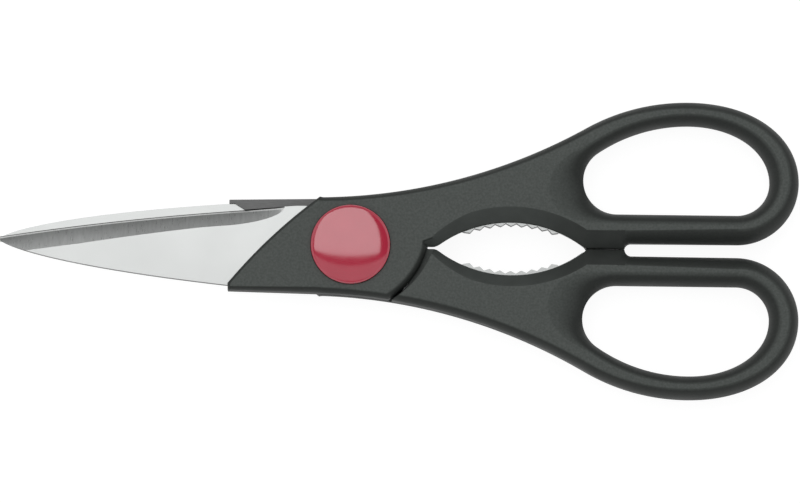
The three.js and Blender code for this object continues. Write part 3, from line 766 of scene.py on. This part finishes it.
def edge_profile(band, wall, roundness):
    """Distance inwards and height of the edge, from the parting line up to the flat face."""

    def on_band(share):
        turn = share * QUARTER
        across = band * mix(share, 1 - math.cos(turn), roundness)
        height = mix(wall, HALF_THICKNESS, mix(share, math.sin(turn), roundness))
        return Vector((across, height))

    length = math.hypot(band, HALF_THICKNESS - wall)
    foot_fillet = min(WALL_FILLET, wall / 2)
    low = foot_fillet / length
    high = 1 - CREST_FILLET / length
    foot = Vector((0, wall))
    crest = Vector((band, HALF_THICKNESS))
    below = Vector((0, wall - foot_fillet))
    behind = Vector((band + CREST_FILLET, HALF_THICKNESS))
    turns = [i / FILLET_STEPS for i in range(FILLET_STEPS)]
    profile = [bent(below, foot, on_band(low), t) for t in turns]
    profile += [on_band(mix(low, high, i / BAND_STEPS)) for i in range(BAND_STEPS)]
    profile += [bent(on_band(high), crest, behind, t) for t in turns]
    profile.append(behind)
    return profile


def edge_columns(stretches):
    """Columns of points up the edge of the moulding, one for each step along its outline."""
    slides = crest_slides(stretches)
    columns = []
    for stretch, (slide_in, slide_out) in zip(stretches, slides):
        curve = stretch.curve
        for k in range(curve.steps):
            t = k / curve.steps
            band, wall, roundness, draft = stretch.edge(t)
            heading = curve.heading(t)
            foot = curve.place(t)
            inwards = left_of(heading) + heading * (mix(slide_in, slide_out, t) / band)
            profile = edge_profile(band, wall, roundness)
            lean = left_of(heading) * draft * wall
            sides = []
            for side in (-1, 1):
                fade = [side * max(0, 1 - p.x / band) for p in profile]
                sides.append([
                    (*(foot + inwards * p.x - lean * f), side * p.y) for p, f in zip(profile, fade)
                ])
            columns.append(sides[0][::-1] + sides[1])
    return columns


def moulded_body(name):
    bm = bmesh.new()
    rims = {1: [], -1: []}
    for stretches in (outer_stretches(), hole_stretches()):
        skins = [[bm.verts.new(p) for p in column] for column in edge_columns(stretches)]
        for here, there in zip(skins, skins[1:] + skins[:1]):
            for k in range(len(here) - 1):
                bm.faces.new((here[k], there[k], there[k + 1], here[k + 1]))
            rims[-1].append(bm.edges.get((here[0], there[0])))
            rims[1].append(bm.edges.get((here[-1], there[-1])))
    for side, rim in rims.items():
        bmesh.ops.triangle_fill(bm, edges=rim, use_beauty=True, normal=(0, 0, side))
    bmesh.ops.recalc_face_normals(bm, faces=bm.faces)
    mesh = bpy.data.meshes.new(name)
    bm.to_mesh(mesh)
    bm.free()
    body = bpy.data.objects.new(name, mesh)
    bpy.context.collection.objects.link(body)
    return body


def lip():
    """Lip along the spine, which hides the other blade's edge; its face falls to the outer edge."""
    nose = -SHOULDER_REACH - OVERCUT
    step_end = -SHOULDER_REACH + LIP_STEP

    def cover(x):
        return Vector((x, -(edge_height(x) + LIP_CLEARANCE)))

    count = math.ceil((EDGE_END - step_end) / FACET_RUN)
    outline = [
        Vector((nose, -SHOULDER_HALF - OVERCUT)),
        Vector((LIP_END, -SHOULDER_HALF - OVERCUT)),
        Vector((LIP_END, -(EDGE_RISE + LIP_CLEARANCE))),
        *[cover(mix(EDGE_END, step_end, i / count)) for i in range(count + 1)],
        Vector((LIP_BLUNT - SHOULDER_REACH, -LIP_NOSE)),
        Vector((nose, -LIP_NOSE)),
    ]
    body = prism("lip", outline, -LIP_DEPTH - LIP_FALL * EDGE_RISE, LAP_TOP + OVERCUT)
    for vertex in body.data.vertices:
        vertex.co.z -= LIP_FALL * vertex.co.y
    return body


def block(name, left, bottom, right, top, low, high):
    corners = [(left, bottom), (right, bottom), (right, top), (left, top)]
    return prism(name, [Vector(p) for p in corners], low, high)


def kept_in_lap():
    """Moulding that stays in the lap room: rims along the tang's edges, the lip, and a shelf that
    closes the arm below the tang, outside the circle that the other half's rim turns in."""
    far = LOOP_END
    top = LAP_TOP + OVERCUT
    rim_reach = math.sqrt(LAP_RADIUS**2 - (SPINE_DEPTH + LAP_CENTRE.y) ** 2)
    shelf_radius = math.hypot(LAP_CENTRE.x + rim_reach, SPINE_DEPTH) + LIP_GAP
    shelf = block("shelf", 0, SLIT_HALF, far, far, -BLADE_HIGH, top)
    combine(shelf, drum("turning", shelf_radius, -BLADE_HIGH - OVERCUT, top + OVERCUT))
    return [
        block("spine_rim", -far, -far, far, -SPINE_DEPTH, BLADE_LOW, top),
        block("back_rim", -far, SLIT_HALF, far, far, LIP_DEPTH + MOULD_GAP, top),
        shelf,
        lip(),
    ]


def lap_room():
    """Room for the other half, up to the lap wall of the arm. The wall's centre lies beyond the
    shoulder's, so that the gap narrows towards the outer edge."""
    centre = mirrored(LAP_CENTRE) - Vector((0, LAP_LIFT))
    wall = circle_arc(centre, LAP_RADIUS + LAP_GAP, -QUARTER, QUARTER)
    far = BLADE_REACH
    outline = [
        Vector((-far, far)),
        Vector((-far, -far)),
        Vector((centre.x, -far)),
        *traced(wall, last=True),
        Vector((centre.x, far)),
    ]
    room = prism("lap_room", outline, -HALF_THICKNESS - OVERCUT, LAP_TOP)
    for moulding in kept_in_lap():
        combine(room, moulding)
    return room


def grown(outline, clearance):
    """Outline moved outwards by a clearance."""
    points = []
    for i, p in enumerate(outline):
        before = (p - outline[i - 1]).normalized()
        after = (outline[(i + 1) % len(outline)] - p).normalized()
        inset = (left_of(before) + left_of(after)) / (1 + before.dot(after))
        points.append(p - inset * clearance)
    return points


def tang_slot():
    outline = grown(blade_outline(tooth_strip()), MOULD_GAP)
    return prism("tang_slot", outline, BLADE_LOW - MOULD_GAP, LAP_TOP)


skirt_inner = NUT_RADIUS + WELL_GAP
skirt_outer = skirt_inner + SKIRT_WALL
cap_floor = HALF_THICKNESS - CAP_SEAT


def front_well():
    """Seat of the cap, and below it room for the cap's skirt and the nut."""
    low = CAP_RADIUS + CAP_GAP
    deep = skirt_outer + WELL_GAP
    top = HALF_THICKNESS + OVERCUT
    profile = [(0, 0), (deep, 0), (deep, cap_floor), (low, cap_floor), (low, top), (0, top)]
    return turned("front_well", profile)


def rear_well():
    return drum("rear_well", HEAD_RADIUS + WELL_GAP, 0, HALF_THICKNESS + OVERCUT)


def handle(name, well, flipped):
    body = moulded_body(name)
    combine(body, lap_room())
    combine(body, tang_slot())
    combine(body, well)
    return placed(body, flipped)


# Pivot pieces


def pivot_screw():
    """Low slotted head, sunk in the rear well, with a turned shank."""
    top = -(BLADE_HIGH + SEAT_GAP)
    face = top - HEAD_HEIGHT
    shank_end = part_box("pivot_screw")[1].z / MM - PIVOT.z / MM
    rim = []
    for i in range(BAND_STEPS + 1):
        turn = i / BAND_STEPS * QUARTER
        inset = HEAD_ROUND * (1 - math.sin(turn))
        rise = HEAD_ROUND * (1 - math.cos(turn))
        rim.append((HEAD_RADIUS - inset, face + rise))
    shank = [(SCREW_RADIUS, top), (SCREW_RADIUS, shank_end), (0, shank_end)]
    body = turned("turned_screw", [(0, face), *rim, (HEAD_RADIUS, top), *shank])
    half = SLOT_WIDTH / 2
    reach = HEAD_RADIUS + OVERCUT
    combine(body, block("slot", -reach, -half, reach, half, face - OVERCUT, face + SLOT_DEPTH))
    return placed(body)


def pivot_cap():
    """Domed cap, hollow below, with a skirt that clips into the well."""
    low = cap_floor + SEAT_GAP
    rim = HALF_THICKNESS + CAP_RIM
    crown = HALF_THICKNESS + CAP_RISE
    roof = rim - CAP_WALL
    dome = []
    for i in range(DOME_STEPS + 1):
        turn = i / DOME_STEPS * QUARTER
        dome.append((CAP_RADIUS * math.cos(turn), mix(rim, crown, math.sin(turn))))
    body = turned(
        "domed_cap",
        [
            (0, roof),
            (skirt_inner, roof),
            (skirt_inner, low - SKIRT_LENGTH),
            (skirt_outer, low - SKIRT_LENGTH),
            (skirt_outer, low),
            (CAP_RADIUS, low),
            *dome,
        ],
    )
    return placed(body)


# Materials

# Tints of the finishes, each from its darkest to its palest
# Painted light and shade on the grained plastic: steep edges painted dark, level faces painted pale
SHADED_EDGE_TINT = ((0.034, 0.038, 0.0355), (0.041, 0.0453, 0.0422))
LIT_FACE_TINT = ((0.079, 0.088, 0.0826), (0.107, 0.118, 0.111))
# Painted shade on the arch's chamfers, and darker painted shade on the pads in the groove between
# the arms
ARCH_SHADE_TINT = ((0.061, 0.068, 0.064), (0.070, 0.078, 0.0733))
PAD_SHADE_TINT = ((0.034, 0.0378, 0.0355), (0.040, 0.0445, 0.0415))
# Lip rubbed smooth by the other blade; its pale colour is a painted sheen
SHEEN_AND_WEAR_TINT = ((0.141, 0.143, 0.142), (0.178, 0.180, 0.179))
RED_TINT = ((0.54, 0.013, 0.050), (0.575, 0.016, 0.056))
BRIGHT_TINT = ((0.53, 0.542, 0.536), (0.563, 0.575, 0.569))
# Painted shade on the tang and its teeth, under the moulding
TANG_SHADE_TINT = ((0.40, 0.41, 0.405), (0.445, 0.455, 0.45))
# Sides and burr of the edge painted dark: a painted shade line along the cutting edge
SHADED_SHEARED_TINT = ((0.10, 0.10, 0.10), (0.17, 0.17, 0.17))
HONED_TINT = ((0.70, 0.71, 0.70), (0.80, 0.81, 0.80))
# Painted reflection on the bevel, dark by the cutting edge and bright by the flat
BEVEL_DARK_REFLECTION_TINT = ((0.295, 0.305, 0.30), (0.34, 0.35, 0.345))
BEVEL_BRIGHT_REFLECTION_TINT = ((0.53, 0.543, 0.538), (0.61, 0.623, 0.618))
PLATED_TINT = ((0.42, 0.42, 0.41), (0.50, 0.50, 0.49))

# Roughness of the finishes, from the smoothest to the roughest
GRAINED_ROUGHNESS = (0.50, 0.60)
WORN_ROUGHNESS = (0.40, 0.50)
SMOOTH_ROUGHNESS = (0.46, 0.54)
RED_ROUGHNESS = (0.10, 0.16)
POLISHED_ROUGHNESS = (0.275, 0.285)
SHEARED_ROUGHNESS = (0.45, 0.6)
HONED_ROUGHNESS = (0.36, 0.46)
GROUND_ROUGHNESS = (0.27, 0.33)
PLATED_ROUGHNESS = (0.26, 0.38)

# Noise in the finishes: features per metre along each axis, and detail
PLASTIC_GRAIN = ((1800, 1800, 1800), 3)
PLASTIC_CLOUD = ((90, 90, 90), 2)
SHEEN_AND_WEAR_GRAIN = ((500, 2600, 2600), 3)
SMOOTH_CLOUD = ((300, 300, 300), 2)
RED_CLOUD = ((160, 160, 160), 2)
RED_RIPPLE = ((420, 420, 420), 1)
POLISHED_STREAK = ((60, 3200, 3200), 3)
POLISHED_CLOUD = ((70, 70, 70), 2)
SHEARED_STREAK = ((900, 900, 4000), 3)
HONED_STREAK = ((2600, 110, 110), 4)
GROUND_STREAK = ((5000, 500, 500), 2)
GROUND_CLOUD = ((1500, 300, 300), 3)
PLATED_CLOUD = ((900, 900, 900), 3)

# Range that most of the noise lies in
NOISE_LOW = 0.3
NOISE_HIGH = 0.7

# Strength of the bumps, and their depth in metres
RED_BUMP = (0.04, 0.0001)
POLISHED_BUMP = (0.0004, 0.00002)
GROUND_BUMP = (0.007, 0.00003)
GRAIN_DEPTH = 0.00008
EDGE_GRAIN = 0.08
FLAT_GRAIN = 0.6

# How level a plastic face lies where its painted light turns it pale, and where its grain comes in:
# 1 is level
LIT_START = 0.74
LIT_FULL = 1.0
FLAT_START = 0.93
FLAT_FULL = 0.99

PLASTIC_SPECULAR = 0.2
COAT_ROUGHNESS = 0.11
COAT_IOR = 1.9
# Length over which the tang's painted shade comes in
TANG_FADE = 4
# Height where the bevel's painted reflection is brightest, relative to the blade's top
BEVEL_SHADE = 1.1

# How level the faces lie that the finishes part at
SHEARED_LEVEL = 0.62
HONED_LEVEL = 0.83
GROUND_LEVEL = 0.97
SHEEN_AND_WEAR_LEVEL = 0.9
STEEP_CHAMFER = 0.5
SHALLOW_CHAMFER = 0.98

# Places of the finishes on a piece, after its main one
GROUND, HONED, SHADED_SHEARED = 1, 2, 3
SHEEN_AND_WEAR, SMOOTH = 1, 2


def add_node(material, kind, inputs=None, **settings):
    tree = material.node_tree
    node = tree.nodes.new(kind)
    for name, value in settings.items():
        setattr(node, name, value)
    for name, value in (inputs or {}).items():
        if isinstance(value, bpy.types.NodeSocket):
            tree.links.new(value, node.inputs[name])
        else:
            node.inputs[name].default_value = value
    return node


def new_material(name, metallic=0.0):
    material = bpy.data.materials.new(name)
    material.use_nodes = True
    shader = material.node_tree.nodes["Principled BSDF"]
    shader.inputs["Metallic"].default_value = metallic
    return material, shader


def wire(material, shader, **links):
    for name, value in links.items():
        material.node_tree.links.new(value, shader.inputs[name.replace("_", " ")])


def computed(material, operation, *values):
    """Result of an operation on values, each given as a socket or as a plain number."""
    inputs = dict(enumerate(values))
    return add_node(material, "ShaderNodeMath", inputs, operation=operation).outputs[0]


def object_place(material, axis):
    """Place on the piece along one axis, in metres."""
    place = add_node(material, "ShaderNodeTexCoord").outputs["Object"]
    return add_node(material, "ShaderNodeSeparateXYZ", {"Vector": place}).outputs[axis]


def object_noise(material, scale, detail):
    """Noise over the piece, with its own scale along each axis, in features per metre."""
    place = add_node(material, "ShaderNodeTexCoord").outputs["Object"]
    mapped = add_node(material, "ShaderNodeMapping", {"Vector": place, "Scale": scale})
    settings = {"Vector": mapped.outputs["Vector"], "Scale": 1.0, "Detail": detail}
    return add_node(material, "ShaderNodeTexNoise", settings).outputs["Fac"]


def ranged(material, value, low=0.0, high=1.0):
    """Noise spread from low to high."""
    spans = {"From Min": NOISE_LOW, "From Max": NOISE_HIGH, "To Min": low, "To Max": high}
    return add_node(material, "ShaderNodeMapRange", {"Value": value, **spans}).outputs["Result"]


def spread_from(material, value, low, high, to_low=0.0, to_high=1.0):
    """Smooth step of a value, from to_low up to to_high."""
    spans = {"From Min": low, "From Max": high, "To Min": to_low, "To Max": to_high}
    inputs = {"Value": value, **spans}
    node = add_node(material, "ShaderNodeMapRange", inputs, interpolation_type="SMOOTHSTEP")
    return node.outputs["Result"]


def mixed(material, value, a, b):
    """Colour between two others, each given as a socket or as a plain colour."""
    node = add_node(material, "ShaderNodeMix", data_type="RGBA")
    sockets = {s.identifier: s for s in node.inputs}
    material.node_tree.links.new(value, sockets["Factor_Float"])
    for name, colour in (("A_Color", a), ("B_Color", b)):
        if isinstance(colour, bpy.types.NodeSocket):
            material.node_tree.links.new(colour, sockets[name])
        else:
            sockets[name].default_value = (*colour, 1)
    return next(s for s in node.outputs if s.identifier == "Result_Color")


def varied(material, noise, tint):
    """Colour that follows a noise through a tint."""
    return mixed(material, ranged(material, noise), *tint)


def bumped(material, height, strength, depth):
    inputs = {"Height": height, "Strength": strength, "Distance": depth}
    return add_node(material, "ShaderNodeBump", inputs).outputs["Normal"]


def plain_finish(name, noise, tint, roughness, metallic=0.0):
    """Finish whose colour and roughness follow one noise."""
    material, shader = new_material(name, metallic)
    value = object_noise(material, *noise)
    colour = varied(material, value, tint)
    wire(material, shader, Base_Color=colour, Roughness=ranged(material, value, *roughness))
    return material


def grained_plastic():
    """Moulded plastic with painted light: level faces pale, steep edges dark; its flats textured.
    """
    material, shader = new_material("grained_plastic")
    grain = object_noise(material, *PLASTIC_GRAIN)
    cloud = object_noise(material, *PLASTIC_CLOUD)
    facing = add_node(material, "ShaderNodeNewGeometry").outputs["Normal"]
    upright = add_node(material, "ShaderNodeSeparateXYZ", {"Vector": facing}).outputs["Z"]
    level = computed(material, "ABSOLUTE", upright)
    # Painted light: level faces turn pale, steep edges stay dark as painted shade
    lit_face = spread_from(material, level, LIT_START, LIT_FULL)
    flat = spread_from(material, level, FLAT_START, FLAT_FULL, EDGE_GRAIN, FLAT_GRAIN)
    shaded_edge_colour = varied(material, grain, SHADED_EDGE_TINT)
    lit_face_colour = varied(material, grain, LIT_FACE_TINT)
    colour = mixed(material, lit_face, shaded_edge_colour, lit_face_colour)
    rough = ranged(material, cloud, *GRAINED_ROUGHNESS)
    bump = bumped(material, grain, flat, GRAIN_DEPTH)
    wire(material, shader, Base_Color=colour, Roughness=rough, Normal=bump)
    shader.inputs["Specular IOR Level"].default_value = PLASTIC_SPECULAR
    return material


def smooth_plastic():
    """Plain plastic of the arch and of the pads beyond it, without texture; painted shade, darker
    at the pads.
    """
    material, shader = new_material("smooth_plastic")
    cloud = object_noise(material, *SMOOTH_CLOUD)
    near = PIVOT.x + arch_centre.x * MM
    pads = spread_from(material, object_place(material, "X"), near, near + PAD_FADE * MM)
    arch_shade_colour = varied(material, cloud, ARCH_SHADE_TINT)
    pad_shade_colour = varied(material, cloud, PAD_SHADE_TINT)
    # Painted shade that darkens from the arch to the pads
    colour = mixed(material, pads, arch_shade_colour, pad_shade_colour)
    rough = ranged(material, cloud, *SMOOTH_ROUGHNESS)
    wire(material, shader, Base_Color=colour, Roughness=rough)
    shader.inputs["Specular IOR Level"].default_value = PLASTIC_SPECULAR
    return material


def red_gloss():
    """Red plastic under a clear gloss, with a slight ripple from the mould."""
    material, shader = new_material("red_gloss")
    colour = varied(material, object_noise(material, *RED_CLOUD), RED_TINT)
    ripple = object_noise(material, *RED_RIPPLE)
    rough = ranged(material, ripple, *RED_ROUGHNESS)
    bump = bumped(material, ripple, *RED_BUMP)
    wire(material, shader, Base_Color=colour, Roughness=rough, Normal=bump)
    shader.inputs["Coat Weight"].default_value = 1.0
    shader.inputs["Coat Roughness"].default_value = COAT_ROUGHNESS
    shader.inputs["Coat IOR"].default_value = COAT_IOR
    return material


def polished_steel():
    """Brushed steel of the blade, painted darker along the tang and its teeth as shade under the
    moulding.
    """
    material, shader = new_material("polished_steel", metallic=1.0)
    streak = object_noise(material, *POLISHED_STREAK)
    cloud = object_noise(material, *POLISHED_CLOUD)
    near = PIVOT.x + TANG_SHADE_START * MM
    tang = spread_from(material, object_place(material, "X"), near, near + TANG_FADE * MM)
    bright = varied(material, cloud, BRIGHT_TINT)
    tang_shade_colour = varied(material, cloud, TANG_SHADE_TINT)
    colour = mixed(material, tang, bright, tang_shade_colour)
    rough = ranged(material, streak, *POLISHED_ROUGHNESS)
    bump = bumped(material, streak, *POLISHED_BUMP)
    wire(material, shader, Base_Color=colour, Roughness=rough, Normal=bump)
    return material


def ground_steel():
    """Bevel ground across its width, with a painted reflection that darkens towards the cutting
    edge.
    """
    material, shader = new_material("ground_steel", metallic=1.0)
    streak = object_noise(material, *GROUND_STREAK)
    cloud = object_noise(material, *GROUND_CLOUD)
    apart = computed(material, "SUBTRACT", object_place(material, "Z"), PIVOT.z)
    depth = computed(material, "ABSOLUTE", apart)
    # Painted reflection that brightens with height on the bevel
    rise = spread_from(material, depth, BLADE_LOW * MM, BEVEL_SHADE * BLADE_HIGH * MM)
    low = varied(material, cloud, BEVEL_DARK_REFLECTION_TINT)
    high = varied(material, cloud, BEVEL_BRIGHT_REFLECTION_TINT)
    colour = mixed(material, rise, low, high)
    rough = ranged(material, streak, *GROUND_ROUGHNESS)
    bump = bumped(material, streak, *GROUND_BUMP)
    wire(material, shader, Base_Color=colour, Roughness=rough, Normal=bump)
    return material


def give(body, *materials):
    body.data.materials.clear()
    for material in materials:
        body.data.materials.append(material)


def finish_blade(body, steels, up):
    """Flat faces are polished, the bevel ground, the cutting edge honed, and the sides shear-cut
    and painted dark as shade.
    """
    give(body, *steels)
    for face in body.data.polygons:
        level = face.normal.z * up
        if abs(level) < SHEARED_LEVEL:
            face.material_index = SHADED_SHEARED
        elif SHEARED_LEVEL < level < HONED_LEVEL:
            face.material_index = HONED
        elif HONED_LEVEL < level < GROUND_LEVEL:
            face.material_index = GROUND


def finish_handle(body, plastics, up):
    """The moulding is grained, its lip rubbed smooth by the other blade and painted with a pale
    sheen, its arch and pads smooth.
    """
    give(body, *plastics)
    arch_reach = ARCH_RADIUS + ARCH_BAND + FINISH_MARGIN
    for face in body.data.polygons:
        x, y, z = (face.center - PIVOT) / MM
        level = face.normal.z * up
        beside = Vector((x, y * up))
        in_arch = slit_start.x < x and (beside - arch_centre).length < arch_reach
        in_pad = arch_centre.x < x < SLOT_START and abs(y) < PAD_BAND + PAD_GAP / 2
        if x < LIP_END and level < -SHEEN_AND_WEAR_LEVEL and -2 * LIP_DEPTH < z * up < 0:
            face.material_index = SHEEN_AND_WEAR
        elif (in_arch or in_pad) and STEEP_CHAMFER < abs(level) < SHALLOW_CHAMFER:
            face.material_index = SMOOTH


# Pieces


def dress():
    # Lip's finish: real wear in its roughness, with a painted sheen in its pale colour
    sheen_and_wear = plain_finish("sheen_and_wear_plastic", SHEEN_AND_WEAR_GRAIN, SHEEN_AND_WEAR_TINT, WORN_ROUGHNESS)
    plastics = (grained_plastic(), sheen_and_wear, smooth_plastic())
    red = red_gloss()
    honed = plain_finish("honed_steel", HONED_STREAK, HONED_TINT, HONED_ROUGHNESS, 1.0)
    # Shear-cut sides and burr, painted dark as shade
    shaded_sheared = plain_finish("shaded_sheared_steel", SHEARED_STREAK, SHADED_SHEARED_TINT, SHEARED_ROUGHNESS, 1.0)
    steels = (polished_steel(), ground_steel(), honed, shaded_sheared)
    plated = plain_finish("plated_steel", PLATED_CLOUD, PLATED_TINT, PLATED_ROUGHNESS, 1.0)
    halves = (("front", front_well(), False), ("rear", rear_well(), True))
    for side, well, flipped in halves:
        body = f"{side}_half"
        steel = blade(f"{side}_ground_blade", flipped)
        up = -1 if flipped else 1
        finish_blade(steel, steels, up)
        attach(steel, body)
        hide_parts(f"{side}_blade")
        grip = handle(f"{side}_moulded_handle", well, flipped)
        finish_handle(grip, plastics, up)
        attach(grip, body)
        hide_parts(f"{side}_handle")
    cap = pivot_cap()
    give(cap, red)
    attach(cap, "front_half")
    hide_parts("pivot_cap")
    screw = pivot_screw()
    give(screw, plated)
    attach(screw, "rear_half")
    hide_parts("pivot_screw")
    for node in ("spring_washer", "pivot_nut"):
        give(frame["nodes"][node], plated)


# Stage, light and camera

FLOOR_HALF = 8.0
FLOOR_LEVEL = -0.0002
FLOOR_COLOUR = 0.2
FLOOR_GLOW = 0.92
WALL_LIGHT = 0.6
CEILING_LIGHT = 0.1
CEILING_START = 0.64
CEILING_FULL = 0.76
BACK_DIM = 0.7
BACK_SIDE = 0.45
BACK_MIDDLE = 0.8
BACK_LOW = 0.28
BACK_HIGH = 0.42
SOFTBOX_HEIGHT = 0.8
SOFTBOX_LEFT = -0.6
SOFTBOX_RIGHT = 0.26
SOFTBOX_NEAR = 0.015
SOFTBOX_FAR = 0.8
SOFTBOX_RADIANCE = 1.57
FILL_NEAR = -0.6
FILL_FAR = -0.06
FILL_HALF = 0.7
FILL_RADIANCE = 0.45

SENSOR_WIDTH = 36
VIEW_ELEVATION = 83
VIEW_ROLL = 0.70
VIEW_WIDTH = 0.2002
VIEW_DISTANCE = 1.3
VIEW_AIM = Vector((0.00028, -0.00097, PIVOT.z))


def make_floor():
    half = FLOOR_HALF
    corners = [(-half, -half), (half, -half), (half, half), (-half, half)]
    floor = mesh_object("floor", [(x, y, FLOOR_LEVEL) for x, y in corners], [(0, 1, 2, 3)])
    material, shader = new_material("pale_floor")
    shader.inputs["Base Color"].default_value = (FLOOR_COLOUR, FLOOR_COLOUR, FLOOR_COLOUR, 1)
    shader.inputs["Roughness"].default_value = 1.0
    shader.inputs["Specular IOR Level"].default_value = 0.0
    path = add_node(material, "ShaderNodeLightPath").outputs
    seen = computed(material, "MAXIMUM", path["Is Camera Ray"], path["Is Glossy Ray"])
    seen_through = computed(material, "MAXIMUM", seen, path["Is Transmission Ray"])
    glow = computed(material, "MULTIPLY", seen_through, FLOOR_GLOW)
    shader.inputs["Emission Color"].default_value = (1, 1, 1, 1)
    wire(material, shader, Emission_Strength=glow)
    floor.data.materials.append(material)


def make_world():
    """Studio room with pale walls, a dim ceiling and a dim screen high up on the far wall."""
    world = bpy.data.worlds.new("studio")
    world.use_nodes = True
    bpy.context.scene.world = world
    background = world.node_tree.nodes["Background"]
    way = add_node(world, "ShaderNodeTexCoord").outputs["Generated"]
    ways = add_node(world, "ShaderNodeSeparateXYZ", {"Vector": way}).outputs
    ceiling = spread_from(world, ways["Z"], CEILING_START, CEILING_FULL)
    across = spread_from(world, ways["Y"], BACK_SIDE, BACK_MIDDLE)
    upwards = spread_from(world, ways["Z"], BACK_LOW, BACK_HIGH, 0, BACK_DIM)
    screen = computed(world, "MULTIPLY", across, upwards)
    dim = computed(world, "MAXIMUM", ceiling, screen)
    levels = {"Value": dim, "To Min": WALL_LIGHT, "To Max": CEILING_LIGHT}
    level = add_node(world, "ShaderNodeMapRange", levels).outputs["Result"]
    wire(world, background, Strength=level)
    background.inputs["Color"].default_value = (1, 1, 1, 1)


def hang_light(name, left, right, near, far, radiance):
    """Level rectangle of light above the table, of even radiance."""
    width = right - left
    depth = far - near
    light = bpy.data.lights.new(name, "AREA")
    light.shape = "RECTANGLE"
    light.size = width
    light.size_y = depth
    light.energy = radiance * math.pi * width * depth
    lamp = bpy.data.objects.new(name, light)
    lamp.location = ((left + right) / 2, (near + far) / 2, SOFTBOX_HEIGHT)
    lamp.visible_camera = False
    bpy.context.collection.objects.link(lamp)


def make_lights():
    hang_light("softbox", SOFTBOX_LEFT, SOFTBOX_RIGHT, SOFTBOX_NEAR, SOFTBOX_FAR, SOFTBOX_RADIANCE)
    hang_light("fill", -FILL_HALF, FILL_HALF, FILL_NEAR, FILL_FAR, FILL_RADIANCE)


def make_camera():
    data = bpy.data.cameras.new("camera")
    data.sensor_width = SENSOR_WIDTH
    data.lens = SENSOR_WIDTH * VIEW_DISTANCE / VIEW_WIDTH
    camera = bpy.data.objects.new("camera", data)
    tilt = math.radians(VIEW_ELEVATION)
    back = Vector((0, -math.cos(tilt), math.sin(tilt)))
    camera.location = VIEW_AIM + back * VIEW_DISTANCE
    aim = (-back).to_track_quat("-Z", "Y")
    roll = Quaternion((0, 0, 1), math.radians(VIEW_ROLL))
    camera.rotation_mode = "QUATERNION"
    camera.rotation_quaternion = aim @ roll
    bpy.context.collection.objects.link(camera)
    bpy.context.scene.camera = camera


make_camera()
make_floor()
make_world()
make_lights()
dress()
bpy.context.scene.view_settings.view_transform = "Standard"

bpy.context.view_layer.update()
